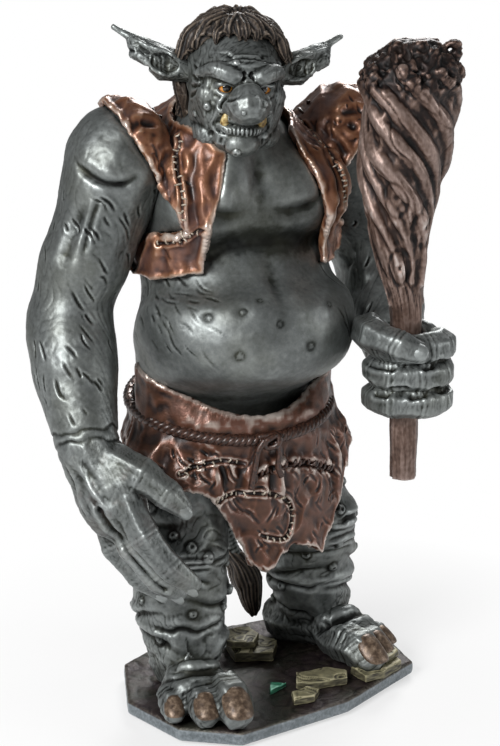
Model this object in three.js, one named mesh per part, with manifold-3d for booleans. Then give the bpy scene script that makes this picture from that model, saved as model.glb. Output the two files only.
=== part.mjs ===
// Troll statuette: a cold-cast folk troll with a club, on a stone slab. Millimetres, +Z up, facing -Y.
// The origin is on the resting face, under the middle of the slab. The figure stands to one side of it.
// The figure is cast in pieces that meet at the joints of the body, each pinned with a steel dowel.
// The club is loose: its tapered handle drops through the fist.
import * as THREE from "three";
import { mergeVertices } from "three/addons/utils/BufferGeometryUtils.js";
import Module from "manifold-3d";

const wasm = await Module();
wasm.setup();

// Vertices that a cut leaves closer than this along an edge are one vertex
const weldDistance = 0.04;

// Gaps between pieces
const castGap = 0.3;
const dowelGap = 0.1;
const footGap = 0.05;
const wearGap = 0.45;

// Base
const feltThickness = 1.2;
const feltInset = 4;
const slabThickness = 6.8;
const slabBevel = 1.4;
const slabWidth = 142;
const slabDepth = 116;
const screwRadius = 2.5;
const screwHeadRadius = 4.8;
const screwHeadHeight = 2.6;
const screwLength = 24;
const screwGap = 0.25;
const slabOffset = 14;
const ground = feltThickness + slabThickness;

// Legs, measured above the slab
const hipHeight = 115;
const kneeHeight = 66;
const ankleHeight = 20;
const hipSpread = 23.5;
const thighRadius = 22;
const kneeRadius = 18;
const calfRadius = 20;
const ankleRadius = 16.5;
const footWidth = 38;
const footHeight = 25;
const footLength = 42;
const toeRadius = 9.6;
const toeLength = 19;
const toeCount = 3;

// Trunk: how far the masses stand above the hips, and the top of the neck above the shoulders
const pelvisRise = 19;
const bellyRise = 47;
const ribRise = 87;
const shoulderRise = 125;
const neckRise = 17;
const pelvisWidth = 88;
const bellyWidth = 100;
const bellyDepth = 96;
const chestWidth = 94;
const chestDepth = 70;
const neckRadius = 18;

// Arms
const shoulderSpread = 54;
const deltoidWidth = 45;
const upperArmLength = 69;
const upperArmRadius = 18.5;
const elbowRadius = 16.5;
const forearmLength = 55;
const forearmRadius = 18.5;
const wristRadius = 14;
const palmLength = 46;
const palmWidth = 39;
const palmThickness = 23;
const fingerLength = 44;
const fingerRadius = 6.4;
const fingerPitch = 12;

// Head, its joint above the top of the neck
const headRise = 18;
const headShift = 8;
const headWidth = 41;
const headDepth = 42;
const headHeight = 39;
const noseWidth = 15.5;
const eyeRadius = 3.8;
const eyeSpread = 7.9;
const earLength = 29;
const earHeight = 17;
const hairThickness = 3.6;
const tuskLength = 9;
const tuskRadius = 1.9;

// Club
const clubLength = 190;
const clubGripFromEnd = 50;
const handleRadius = 8;
const handleEndRadius = 6.8;
const clubHeadRadius = 19.5;
const clubGap = 0.35;

// Clothing
const hideThickness = 2.2;
const waistcoatLength = 43;
const neckOpening = 25;
const armholeSlant = 30;
const armholeInset = 9;
const armholeDrop = 30;
const beltRise = 16;
const beltDip = 9;
const beltRadius = 2.8;
const apronLength = 54;
const sideDrop = 20;
const tailRadius = 7;

// Dowels
const dowelRadius = 2;
const dowelReach = 9;

const at = (x, y, z) => new THREE.Vector3(x, y, z);
const between = (a, b, share) => a.clone().lerp(b, share);
const radians = THREE.MathUtils.degToRad;

// Masses. A form is a function that gives the signed distance of a point from its surface, negative inside.
const egg = (centre, width, depth, height) => (p) => {
  const x = (p.x - centre.x) / (width / 2);
  const y = (p.y - centre.y) / (depth / 2);
  const z = (p.z - centre.z) / (height / 2);
  const far = Math.hypot(x, y, z);
  if (far < 1e-6) return -Math.min(width, depth, height) / 2;
  const slope = Math.hypot(x / (width / 2), y / (depth / 2), z / (height / 2));
  return (far * (far - 1)) / slope;
};

const limb = (from, to, startRadius, endRadius) => {
  const along = to.clone().sub(from);
  const square = along.lengthSq();
  return (p) => {
    const t = THREE.MathUtils.clamp(p.clone().sub(from).dot(along) / square, 0, 1);
    return p.distanceTo(between(from, to, t)) - THREE.MathUtils.lerp(startRadius, endRadius, t);
  };
};

// Masses run together like clay, within reach millimetres of each other.
const blended = (reach, masses) => (p) => {
  let near = masses[0](p);
  for (const mass of masses.slice(1)) {
    const next = mass(p);
    const overlap = Math.max(reach - Math.abs(near - next), 0) / reach;
    near = Math.min(near, next) - (overlap * overlap * reach) / 4;
  }
  return near;
};

const chain = (points, radii, reach = 2) =>
  blended(
    reach,
    points.slice(1).map((point, i) => limb(points[i], point, radii[i], radii[i + 1])),
  );

// How far a ray runs inside a form, grown by grow, before it comes out.
function reachOf(form, from, direction, grow) {
  let far = 0;
  for (let step = 0; step < 90; step++) {
    const depth = grow - form(from.clone().addScaledVector(direction, far));
    if (depth < 0.004) break;
    far += depth * 0.85;
  }
  return Math.max(far, 0.05);
}

// Closed skin over rings of points, with one pole point at each end.
function skin(rings, startPole, endPole) {
  const sides = rings[0].length;
  const points = [startPole, ...rings.flat(), endPole];
  const last = points.length - 1;
  const corner = (ring, side) => 1 + ring * sides + (side % sides);
  const faces = [];
  for (let side = 0; side < sides; side++) {
    faces.push(0, corner(0, side + 1), corner(0, side));
    for (let ring = 0; ring < rings.length - 1; ring++) {
      const [a, b] = [corner(ring, side), corner(ring, side + 1)];
      const [c, d] = [corner(ring + 1, side + 1), corner(ring + 1, side)];
      faces.push(a, b, c, a, c, d);
    }
    faces.push(last, corner(rings.length - 1, side), corner(rings.length - 1, side + 1));
  }
  const made = new THREE.BufferGeometry().setFromPoints(points);
  return made.setIndex(faces);
}

// A loft along a spine: each ring is where rays from the spine leave the form. Both ends are domed.
function loft(form, spine, { sides, rings, dome = 3, grow = 0 }) {
  const curve = new THREE.CatmullRomCurve3(spine, false, "centripetal");
  const frames = curve.computeFrenetFrames(rings, false);
  const stations = [];
  for (let i = dome; i > 0; i--) stations.push({ i: 0, tilt: (-Math.PI / 2) * (i / (dome + 1)) });
  for (let i = 0; i <= rings; i++) stations.push({ i, tilt: 0 });
  for (let i = 1; i <= dome; i++) stations.push({ i: rings, tilt: (Math.PI / 2) * (i / (dome + 1)) });
  const hit = (i, direction) => {
    const from = curve.getPointAt(i / rings);
    return from.clone().addScaledVector(direction, reachOf(form, from, direction, grow));
  };
  const made = stations.map(({ i, tilt }) =>
    Array.from({ length: sides }, (_, side) => {
      const angle = (side / sides) * 2 * Math.PI;
      const direction = frames.normals[i].clone().multiplyScalar(Math.cos(angle) * Math.cos(tilt));
      direction.addScaledVector(frames.binormals[i], Math.sin(angle) * Math.cos(tilt));
      return hit(i, direction.addScaledVector(frames.tangents[i], Math.sin(tilt)));
    }),
  );
  const start = hit(0, frames.tangents[0].clone().negate());
  return solid(skin(made, start, hit(rings, frames.tangents[rings])));
}

// A globe: rays from one centre, ringed from the bottom pole to the top one.
function globe(form, centre, { sides, rings, grow = 0 }) {
  const hit = (direction) => {
    const far = reachOf(form, centre, direction, grow);
    return centre.clone().addScaledVector(direction, far);
  };
  const made = Array.from({ length: rings }, (_, ring) => {
    const tilt = Math.PI * ((ring + 1) / (rings + 1) - 0.5);
    return Array.from({ length: sides }, (_, side) => {
      const angle = (side / sides) * 2 * Math.PI;
      return hit(at(Math.cos(angle) * Math.cos(tilt), Math.sin(angle) * Math.cos(tilt), Math.sin(tilt)));
    });
  });
  return solid(skin(made, hit(at(0, 0, -1)), hit(at(0, 0, 1))));
}

// A turned piece round Z, whose radius depends on the height and the angle.
function turned(radiusAt, heights, sides) {
  const ring = (z) =>
    Array.from({ length: sides }, (_, side) => {
      const angle = (side / sides) * 2 * Math.PI;
      const radius = radiusAt(z, angle);
      return at(Math.cos(angle) * radius, Math.sin(angle) * radius, z);
    });
  return solid(skin(heights.map(ring), at(0, 0, heights[0]), at(0, 0, heights.at(-1))));
}

// Solids and meshes
function solid(geometry) {
  const bare = geometry.clone();
  bare.deleteAttribute("normal");
  bare.deleteAttribute("uv");
  const { attributes, index } = mergeVertices(bare, 1e-4);
  const vertProperties = Float32Array.from(attributes.position.array);
  const triVerts = Uint32Array.from(index.array);
  return new wasm.Manifold(new wasm.Mesh({ numProp: 3, vertProperties, triVerts }));
}

const largest = (pieces) => pieces.reduce((a, b) => (b.volume() > a.volume() ? b : a));

// The faces left once the two ends of every edge shorter than weldDistance are one vertex
function welded(points, corners) {
  const merged = points.map((_, i) => i);
  const root = (i) => (merged[i] === i ? i : (merged[i] = root(merged[i])));
  for (let i = 0; i < corners.length; i += 3) {
    for (const [from, to] of [[0, 1], [1, 2], [2, 0]]) {
      const [a, b] = [root(corners[i + from]), root(corners[i + to])];
      if (a !== b && points[a].distanceTo(points[b]) < weldDistance) merged[b] = a;
    }
  }
  const faces = new Map();
  for (let i = 0; i < corners.length; i += 3) {
    const face = [...corners.slice(i, i + 3)].map(root);
    if (new Set(face).size < 3) continue;
    const key = face.toSorted((a, b) => a - b).join();
    if (faces.has(key)) faces.delete(key);
    else faces.set(key, face);
  }
  return [...faces.values()].flat();
}

function mesh(name, made, material) {
  const { vertProperties, triVerts } = largest(made.decompose()).getMesh();
  const points = Array.from({ length: vertProperties.length / 3 }, (_, i) =>
    at(...vertProperties.slice(3 * i, 3 * i + 3)),
  );
  const geometry = new THREE.BufferGeometry().setFromPoints(points);
  geometry.setIndex(welded(points, triVerts)).computeVertexNormals();
  const piece = new THREE.Mesh(geometry, material);
  piece.name = name;
  return piece;
}

const moved = (made, offset) => made.translate([offset.x, offset.y, offset.z]);
const toWorld = (made, frame) => made.transform(frame.matrixWorld.elements);
const toFrame = (made, frame) => made.transform(frame.matrixWorld.clone().invert().elements);

function frameAt(position, turn) {
  const frame = new THREE.Group();
  frame.position.copy(position);
  frame.rotation.set(radians(turn.x), radians(turn.y), radians(turn.z));
  frame.updateMatrixWorld(true);
  return frame;
}

const block = (low, high) => {
  const size = high.clone().sub(low);
  return moved(solid(new THREE.BoxGeometry(size.x, size.y, size.z)), between(low, high, 0.5));
};

// A round bar from one point to another.
function bar(from, to, radius, sides = 12) {
  const along = to.clone().sub(from);
  const made = new THREE.CylinderGeometry(radius, radius, along.length(), sides);
  made.applyQuaternion(new THREE.Quaternion().setFromUnitVectors(at(0, 1, 0), along.normalize()));
  return moved(solid(made), between(from, to, 0.5));
}

const finish = (color, roughness, metalness) =>
  new THREE.MeshStandardMaterial({ color, roughness, metalness });
const materials = {
  skin: finish(0x6f7871, 0.42, 0.55),
  hide: finish(0x6b3a26, 0.5, 0.35),
  wood: finish(0x5a463d, 0.6, 0.2),
  slab: finish(0x4c4c4a, 0.6, 0.35),
  stone: finish(0x77704f, 0.7, 0.1),
  felt: finish(0x1f3a2c, 0.95, 0),
  steel: finish(0xa8abad, 0.35, 1),
  eye: finish(0x8a5a1c, 0.15, 0),
  ivory: finish(0xcdbb8c, 0.4, 0),
  hair: finish(0x35302b, 0.6, 0.3),
};

// Skeleton
const up = (height) => ground + height;
const pelvisHeight = hipHeight + pelvisRise;
const bellyHeight = hipHeight + bellyRise;
const ribHeight = hipHeight + ribRise;
const shoulderHeight = hipHeight + shoulderRise;
const neckTopHeight = shoulderHeight + neckRise;
const stances = {
  right: { side: -1, footX: -28, footY: -8, toeOut: 12, kneeForward: 9 },
  left: { side: 1, footX: 50, footY: 20, toeOut: 24, kneeForward: 7 },
};
const hipOf = ({ side }) => at(side * hipSpread, 6, up(hipHeight));
const ankleOf = ({ footX, footY }) => at(footX, footY + 4, up(ankleHeight));
function kneeOf(stance) {
  const { side, toeOut, kneeForward } = stance;
  const share = (kneeHeight - ankleHeight) / (hipHeight - ankleHeight);
  const line = between(ankleOf(stance), hipOf(stance), share);
  const turn = radians(toeOut);
  return line.add(at(side * (3 + kneeForward * Math.sin(turn)), -kneeForward * Math.cos(turn), 0));
}
const shoulders = {
  right: at(-shoulderSpread, 5, up(shoulderHeight)),
  left: at(shoulderSpread, 5, up(shoulderHeight)),
};
const reached = (from, direction, length) => from.clone().add(direction.setLength(length));
const elbows = {
  right: reached(shoulders.right, at(-22, 3, -65), upperArmLength),
  left: reached(shoulders.left, at(24, 13, -58), upperArmLength),
};
const wrists = {
  right: reached(elbows.right, at(-2, -26, -46), forearmLength),
  left: reached(elbows.left, at(-13, -42, -21), forearmLength),
};

// The fist stands on the club's axis, and its frame has +X outwards, -Y forwards and +Z up the club.
const leftWrist = at(palmLength * 0.09, palmLength * 0.63, 0);
const gripTurn = { x: 0, y: 0, z: -14 };
const wristFromGrip = leftWrist.clone().applyMatrix4(frameAt(at(0, 0, 0), gripTurn).matrixWorld);
const grip = frameAt(wrists.left.clone().sub(wristFromGrip), gripTurn);
const openHand = frameAt(wrists.right, { x: -22, y: -14, z: 8 });
const head = frameAt(at(-headShift, -15, up(neckTopHeight + headRise)), { x: 4, y: 3, z: -11 });

// Base
const slabCorners = [
  [-0.5, -0.05], [-0.43, -0.36], [-0.27, -0.5], [0.14, -0.4], [0.48, -0.17],
  [0.5, 0.06], [0.44, 0.34], [0.2, 0.5], [-0.16, 0.48], [-0.4, 0.3],
];
const outline = (corners, width, depth) =>
  new THREE.Shape(corners.map(([x, y]) => new THREE.Vector2(x * width, y * depth)));
function slabSolid() {
  const body = new THREE.ExtrudeGeometry(
    outline(slabCorners, slabWidth - 2 * slabBevel, slabDepth - 2 * slabBevel),
    {
      depth: slabThickness - 2 * slabBevel,
      bevelThickness: slabBevel,
      bevelSize: slabBevel,
      bevelSegments: 2,
    },
  );
  return moved(solid(body), at(slabOffset, 0, feltThickness + slabBevel));
}
function feltSolid() {
  const shape = outline(slabCorners, slabWidth - 2 * feltInset, slabDepth - 2 * feltInset);
  const pad = new THREE.ExtrudeGeometry(shape, { depth: feltThickness, bevelEnabled: false });
  return moved(solid(pad), at(slabOffset, 0, 0));
}

// A countersunk screw, pointing up from the slab's underside.
const screwPlace = ({ footX, footY }) => at(footX, footY, feltThickness);
function screwSolid(grow = 0) {
  const reach = screwLength + grow;
  const profile = [
    [0, 0],
    [screwHeadRadius + grow, 0],
    [screwHeadRadius + grow, 0.6],
    [screwRadius + grow, screwHeadHeight],
    [screwRadius + grow, reach - 1],
    [screwRadius * 0.6 + grow, reach],
    [0, reach],
  ];
  return solid(turnedProfile(profile, 12));
}
function turnedProfile(profile, sides) {
  const lathe = new THREE.LatheGeometry(profile.map(([r, z]) => new THREE.Vector2(r, z)), sides);
  return lathe.rotateX(Math.PI / 2);
}

// Leg and foot
const calfOf = (stance) => between(kneeOf(stance), ankleOf(stance), 0.35).add(at(0, 4, 0));
function legForm(stance) {
  const [hip, knee, calf, ankle] = [hipOf(stance), kneeOf(stance), calfOf(stance), ankleOf(stance)];
  return blended(8, [
    limb(hip, knee, thighRadius, kneeRadius),
    egg(between(hip, knee, 0.35).add(at(0, -6, 0)), thighRadius * 1.7, thighRadius * 1.6, 56),
    egg(knee.clone().add(at(0, -4, 2)), kneeRadius * 1.8, kneeRadius * 1.9, kneeRadius * 1.8),
    limb(knee, calf, kneeRadius * 0.95, calfRadius),
    limb(calf, ankle, calfRadius, ankleRadius),
    egg(ankle.clone().add(at(0, 0, 7)), ankleRadius * 2.4, ankleRadius * 2.4, 17),
  ]);
}
function legSolid(stance, grow = 0) {
  const line = [hipOf(stance).add(at(0, 0, 4)), kneeOf(stance), calfOf(stance), ankleOf(stance)];
  const column = loft(legForm(stance), line, { sides: 11, rings: 8, dome: 2, grow });
  const foot = footSolid(stance.side, grow);
  const turn = { x: 0, y: 0, z: stance.side * stance.toeOut };
  const frame = frameAt(at(stance.footX, stance.footY, ground), turn);
  const whole = column.add(toWorld(foot, frame));
  return whole.subtract(block(at(-200, -200, -50), at(200, 200, ground + footGap - grow)));
}

// A foot, heel at +Y and toes at -Y, standing on z = 0.
function footSolid(side, grow) {
  const heel = at(0, footLength * 0.3, footHeight * 0.42);
  const ball = at(0, -footLength * 0.5, footHeight * 0.36);
  const instep = at(0, footLength * 0.15, footHeight * 0.62);
  const form = blended(7, [
    egg(heel, footWidth * 0.84, footWidth * 0.84, footHeight * 1.1),
    limb(instep, at(0, -footLength * 0.36, footHeight * 0.42), footWidth * 0.32, footWidth * 0.28),
    egg(ball, footWidth, footLength * 0.6, footHeight * 0.84),
  ]);
  let made = loft(form, [heel, at(0, 0, footHeight * 0.42), ball], { sides: 10, rings: 5, dome: 2, grow });
  for (let toe = 0; toe < toeCount; toe++) {
    const share = toe / (toeCount - 1);
    const radius = toeRadius * (1 - 0.32 * share);
    const across = -side * (footWidth / 2 - toeRadius * 0.75) * (1 - 2 * share);
    const root = at(across * 0.9, ball.y - 2 + 5 * share * share, radius * 0.95);
    const length = toeLength * (1 - 0.3 * share);
    const spread = across * 0.16;
    const knuckle = root.clone().add(at(spread * 0.5, -length * 0.55, radius * 0.3));
    const tip = root.clone().add(at(spread, -length, -radius * 0.12));
    const line = [root, knuckle, tip];
    const masses = chain(line, [radius * 0.9, radius, radius * 0.92], 3);
    made = made.add(loft(masses, line, { sides: 6, rings: 3, dome: 1, grow }));
  }
  return made;
}

// Trunk, from the pelvis to the top of the neck
function breast(side) {
  const centre = at(side * chestWidth * 0.21, -19, up(shoulderHeight - 13));
  return egg(centre, chestWidth * 0.42, chestDepth * 0.36, chestWidth * 0.34);
}
const neckLine = [at(0, 8, up(shoulderHeight)), at(-headShift * 0.8, -9, up(neckTopHeight))];
const trunkForm = blended(15, [
  egg(at(0, 8, up(pelvisHeight)), pelvisWidth, pelvisWidth * 0.82, pelvisWidth * 0.49),
  egg(at(0, -9, up(bellyHeight)), bellyWidth, bellyDepth, bellyWidth * 0.66),
  egg(at(0, 4, up(ribHeight)), chestWidth * 0.95, chestDepth, chestWidth * 0.7),
  egg(at(0, 7, up(shoulderHeight - 8)), chestWidth * 1.08, chestDepth * 0.9, chestWidth * 0.47),
  breast(-1),
  breast(1),
  egg(at(0, 23, up(shoulderHeight + 2)), chestWidth * 0.7, chestDepth * 0.51, chestDepth * 0.63),
  limb(...neckLine, neckRadius * 1.35, neckRadius),
]);
function trunkSolid(grow = 0) {
  const spine = [
    at(0, 7, up(pelvisHeight - 2)),
    at(0, -3, up(bellyHeight)),
    at(0, 4, up((bellyHeight + shoulderHeight) / 2)),
    at(0, 4, up(shoulderHeight - 8)),
    at(-headShift * 0.7, -7, up(neckTopHeight + 2)),
  ];
  return loft(trunkForm, spine, { sides: 20, rings: 13, dome: 2, grow });
}

// Arms
function armForm(shoulder, elbow, wrist) {
  const belly = between(elbow, wrist, 0.28);
  return blended(7, [
    egg(shoulder, deltoidWidth, deltoidWidth * 1.08, deltoidWidth * 1.2),
    limb(shoulder, elbow, upperArmRadius, elbowRadius),
    egg(between(shoulder, elbow, 0.55), upperArmRadius * 2.1, upperArmRadius * 2.3, 38),
    limb(elbow, belly, elbowRadius, forearmRadius),
    limb(belly, wrist, forearmRadius, wristRadius),
  ]);
}
function armSolid(shoulder, elbow, wrist, grow = 0) {
  const start = shoulder.clone().add(at(-Math.sign(shoulder.x) * 5, 0, 2));
  const options = { sides: 11, rings: 8, dome: 2, grow };
  return loft(armForm(shoulder, elbow, wrist), [start, elbow, wrist], options);
}
const rightArm = (grow) => armSolid(shoulders.right, elbows.right, wrists.right, grow);
const leftArm = (grow) => armSolid(shoulders.left, elbows.left, wrists.left, grow);

// The open hand hangs from its wrist, with the palm at +X and the thumb at -Y.
function openHandSolid(grow = 0) {
  const centre = at(1, -1, -palmLength * 0.48);
  const palm = blended(5, [
    limb(at(0, 0, 4), at(0, 0, -6), wristRadius, wristRadius * 0.95),
    egg(centre, palmThickness, palmWidth, palmLength),
  ]);
  const wrist = [at(0, 0, 4), at(0, 0, -8), at(1, -1, -palmLength * 0.62)];
  let made = loft(palm, wrist, { sides: 10, rings: 4, dome: 2, grow });
  for (const row of [-1, 0, 1]) {
    const root = -palmLength * 0.62 + 2 * Math.abs(row);
    const line = [
      at(1, row * palmWidth * 0.29 - 1, root),
      at(1, row * palmWidth * 0.34 - 1, root - fingerLength * 0.4),
      at(6, row * palmWidth * 0.36 - 1, root - fingerLength * 0.77),
      at(13, row * palmWidth * 0.35 - 1, root - fingerLength),
    ];
    const radii = [1.08, 1.06, 0.95, 0.75].map((share) => share * fingerRadius);
    made = made.add(loft(chain(line, radii), line, { sides: 6, rings: 5, dome: 1, grow }));
  }
  const thumbRoot = at(4, -palmWidth * 0.27, -palmLength * 0.24);
  const thumbSteps = [at(0, 0, 0), at(4, -10, -10), at(9, -14, -20), at(13, -14, -28)];
  const thumb = thumbSteps.map((step) => step.add(thumbRoot));
  const thumbRadii = [1.3, 1.15, 1, 0.75].map((share) => share * fingerRadius);
  return made.add(loft(chain(thumb, thumbRadii), thumb, { sides: 6, rings: 5, dome: 1, grow }));
}

// The fist, round the club at its frame's Z axis. Angles run from outwards to forwards.
function fistSolid(grow = 0) {
  const round = (angle, radius, z) => at(radius, 0, z).applyAxisAngle(at(0, 0, 1), -radians(angle));
  const wrap = handleRadius + clubGap + fingerRadius * 0.9;
  const palm = blended(6, [
    limb(leftWrist.clone().add(at(0, 3, 0)), at(5, 18, 0), wristRadius, 13),
    egg(at(10, 8, 0), 25, 36, 3 * fingerPitch + 4),
    egg(at(0, 16, -1), 25, 20, 3 * fingerPitch),
  ]);
  const spine = [leftWrist.clone().add(at(0, 3, 0)), at(5, 17, 0), at(13, 1, 0), at(14, -5, 0)];
  let made = loft(palm, spine, { sides: 10, rings: 5, dome: 2, grow });
  for (const row of [1, 0, -1]) {
    const end = row === 1 ? 176 : 205;
    const z = row * fingerPitch;
    const turns = [0, 0.18, 0.38, 0.6, 0.8, 1].map((share) => 6 + (end - 6) * share);
    const bulge = [0.5, 2.4, 1, 0.6, 0.3, 0];
    const line = turns.map((angle, i) => round(angle, wrap + bulge[i], z));
    const radii = [1, 1.08, 1, 0.98, 0.94, 0.84].map((share) => share * fingerRadius);
    made = made.add(loft(chain(line, radii), line, { sides: 6, rings: 8, dome: 1, grow }));
  }
  const thumb = [at(-6, 17, 8), at(-14, 9, 15), at(-16, -6, 17), at(-8, -18, 15), at(0, -20, 12)];
  const thumbRadii = [1.35, 1.3, 1.15, 1, 0.8].map((share) => share * fingerRadius);
  return made.add(loft(chain(thumb, thumbRadii), thumb, { sides: 6, rings: 7, dome: 1, grow }));
}

// Club, in the grip's frame. Below the grip's top the handle is a plain taper, so that it lifts out.
const clubBottom = -clubGripFromEnd;
const clubTop = clubLength - clubGripFromEnd;
const gripTop = 1.5 * fingerPitch + 4;
const handleAt = (z) =>
  THREE.MathUtils.mapLinear(z, clubBottom, gripTop, handleEndRadius, handleRadius);
function clubRadius(z, angle) {
  if (z <= gripTop) {
    const flute = 0.5 * (1 - Math.cos(7 * angle));
    return handleAt(z) - flute * (z === clubBottom ? 1.4 : 0.6);
  }
  const share = (z - gripTop) / (clubTop - gripTop);
  const swell = THREE.MathUtils.smoothstep(share, 0, 0.72);
  const crown = share > 0.86 ? Math.sqrt(Math.max(1 - ((share - 0.86) / 0.16) ** 2, 0.05)) : 1;
  const body = THREE.MathUtils.lerp(handleRadius, clubHeadRadius, swell) * crown;
  const twist = angle + share * 3.4;
  const strands = 0.1 * Math.cos(3 * twist) + 0.05 * Math.cos(5 * twist + 1);
  const burr = share > 0.7 ? 0.07 * Math.sin(4 * angle + 31 * share) : 0;
  return body * (1 + Math.min(share * 6, 1) * (strands + burr));
}
const clubBend = (share) => at(-3 * Math.sin(share * 4.2), 2.5 * Math.sin(share * 3), 0);
function clubSolid() {
  const heights = [clubBottom, clubBottom + 3, -24, 0, gripTop];
  const rings = 12;
  for (let i = 1; i <= rings; i++) heights.push(gripTop + (clubTop - gripTop) * (i / rings));
  const made = heights.map((z) => {
    const offset = clubBend(Math.max((z - gripTop) / (clubTop - gripTop), 0));
    return Array.from({ length: 16 }, (_, side) => {
      const angle = (side / 16) * 2 * Math.PI;
      const radius = clubRadius(z, angle);
      return at(Math.cos(angle) * radius, Math.sin(angle) * radius, z).add(offset);
    });
  });
  const crown = clubBend(1).add(at(0, 0, clubTop));
  return solid(skin(made, at(0, 0, clubBottom), crown));
}
const clubBore = () => turned((z) => handleAt(z) + clubGap, [clubBottom - 4, clubTop], 20);

// Head, in its own frame with the face at -Y.
// Its features are placed on a head 50 wide, 56 deep and 52 high.
const inHead = (x, y, z) => at((x * headWidth) / 50, (y * headDepth) / 56, (z * headHeight) / 52);
const lump = (x, y, z, width, depth, height) => {
  const size = inHead(width, depth, height);
  return egg(inHead(x, y, z), size.x, size.y, size.z);
};
const headCentre = inHead(0, -2, -2);
const browRadius = headHeight * 0.115;
const skullForm = blended(9, [
  lump(0, 5, 7, 50, 56, 52),
  limb(inHead(-12, -20, 9), inHead(12, -20, 9), browRadius, browRadius),
  lump(-14, -15, -6, 17, 19, 16),
  lump(14, -15, -6, 17, 19, 16),
  lump(0, -5, -19, 46, 41, 30),
  lump(0, -22, -28, 26, 17, 15),
  lump(0, -22, -13, 30, 15, 10),
]);
const noseLine = [inHead(0, -20, 8), inHead(0, -33, 1), inHead(0, -38, -6)];
const noseForm = blended(4, [
  limb(noseLine[0], noseLine[2], noseWidth * 0.24, noseWidth * 0.42),
  egg(noseLine[2], noseWidth, noseWidth * 0.95, noseWidth * 0.92),
  egg(inHead(-noseWidth * 0.45, -32, -8), 9, 11, 8),
  egg(inHead(noseWidth * 0.45, -32, -8), 9, 11, 8),
]);
const eyeAt = (side) => inHead((side * eyeSpread * 50) / headWidth, -23.4, 1.5);
const eyeSolid = (side, grow = 0) =>
  moved(solid(new THREE.IcosahedronGeometry(eyeRadius + grow, 1)), eyeAt(side));
const tuskLine = (side) => {
  const root = inHead(side * 8.5, -24, -21);
  const steps = [at(0, 0, 0), at(side, -3.5, 2 + tuskLength * 0.2), at(side, -4.5, tuskLength * 0.8)];
  return steps.map((step) => step.add(root));
};
const tuskSolid = (side, grow = 0) => {
  const line = tuskLine(side);
  return loft(chain(line, [tuskRadius, tuskRadius * 0.9, 0.5]), line, { sides: 7, rings: 4, dome: 1, grow });
};
function headSolid(grow = 0) {
  const skull = globe(skullForm, headCentre, { sides: 24, rings: 15, grow });
  const made = skull.add(loft(noseForm, noseLine, { sides: 10, rings: 4, dome: 2, grow }));
  if (grow) return made;
  const corner = inHead(9, -27, -17.6);
  const mouthLine = [corner.clone().multiply(at(-1, 1, 1)), corner];
  return made.subtract(loft(lump(0, -26, -17.6, 34, 26, 3), mouthLine, { sides: 8, rings: 3, dome: 2 }));
}

// A pointed ear with a hollow front, rooted in the side of the head
function earSolid(side, grow = 0) {
  const root = at(side * (headWidth / 2 - 5), 3, 2);
  const tip = at(side * (headWidth / 2 + earLength), 15, 19);
  const bend = at(side * (headWidth / 2 + earLength * 0.42), 5, 7);
  const line = [root, at(side * (headWidth / 2 + 2), 3, 3), bend, tip];
  const lobe = blended(4, [
    limb(root, tip, 3.4, 1.2),
    egg(between(root, bend, 0.75), earLength * 0.62, 7, earHeight),
    egg(between(bend, tip, 0.35), earLength * 0.6, 6, earHeight * 0.55),
  ]);
  const made = loft(lobe, line, { sides: 10, rings: 6, dome: 1, grow });
  if (grow) return made;
  const hollow = egg(between(root, bend, 0.95).add(at(0, -5.2, 0.5)), earLength * 0.66, 8, earHeight * 0.62);
  const across = [between(root, bend, 0.6).add(at(0, -5.2, 0)), between(bend, tip, 0.2).add(at(0, -5.2, 0))];
  return made.subtract(loft(hollow, across, { sides: 8, rings: 3, dome: 1 }));
}

// Hair, from the brow over the crown to the nape, in heavy locks
const maneForm = blended(8, [
  lump(0, 6, 8, 51, 57, 53),
  lump(0, 22, -12, 40, 30, 50),
]);
function hairSolid(cutters) {
  const locks = (p) => {
    const angle = Math.atan2(p.y, p.x);
    return maneForm(p) + 1.5 * Math.cos(15 * angle + 0.12 * p.z);
  };
  const outer = globe(locks, headCentre, { sides: 28, rings: 10, grow: hairThickness });
  const faceLine = [
    [-60, -60], [-9, -60], [4, -34], [3, -24], [10, -18], [5, -9], [8, 0], [1, 6], [3, 13], [-5, 19],
    [-6, 26], [-15, 30], [-17, 60], [-60, 60],
  ].map(([y, z]) => inHead(0, y, z));
  const shape = new THREE.Shape(faceLine.map(({ y, z }) => new THREE.Vector2(y, z)));
  const face = new THREE.ExtrudeGeometry(shape, { depth: 140, bevelEnabled: false });
  const sideways = new THREE.Matrix4().makeBasis(at(0, 1, 0), at(0, 0, 1), at(1, 0, 0));
  face.translate(0, 0, -70).applyMatrix4(sideways);
  const cutter = solid(face);
  return [cutter, ...cutters].reduce((made, other) => made.subtract(other), outer);
}

// Waistcoat: a hide shell over the trunk and the tops of the shoulders
// All that lies beyond the armhole: past a slanted plane, out over the shoulder and in under the armpit
const armholeFor = (shoulder, drop) => {
  const side = Math.sign(shoulder.x);
  const frame = frameAt(shoulder, { x: 0, y: side * armholeSlant, z: side * 6 });
  const reach = at(side * 90, 70, 70);
  const inner = at(-side * armholeInset, -70, -drop);
  const beyond = block(inner.clone().min(reach), inner.clone().max(reach));
  return toWorld(beyond, frame);
};
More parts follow.
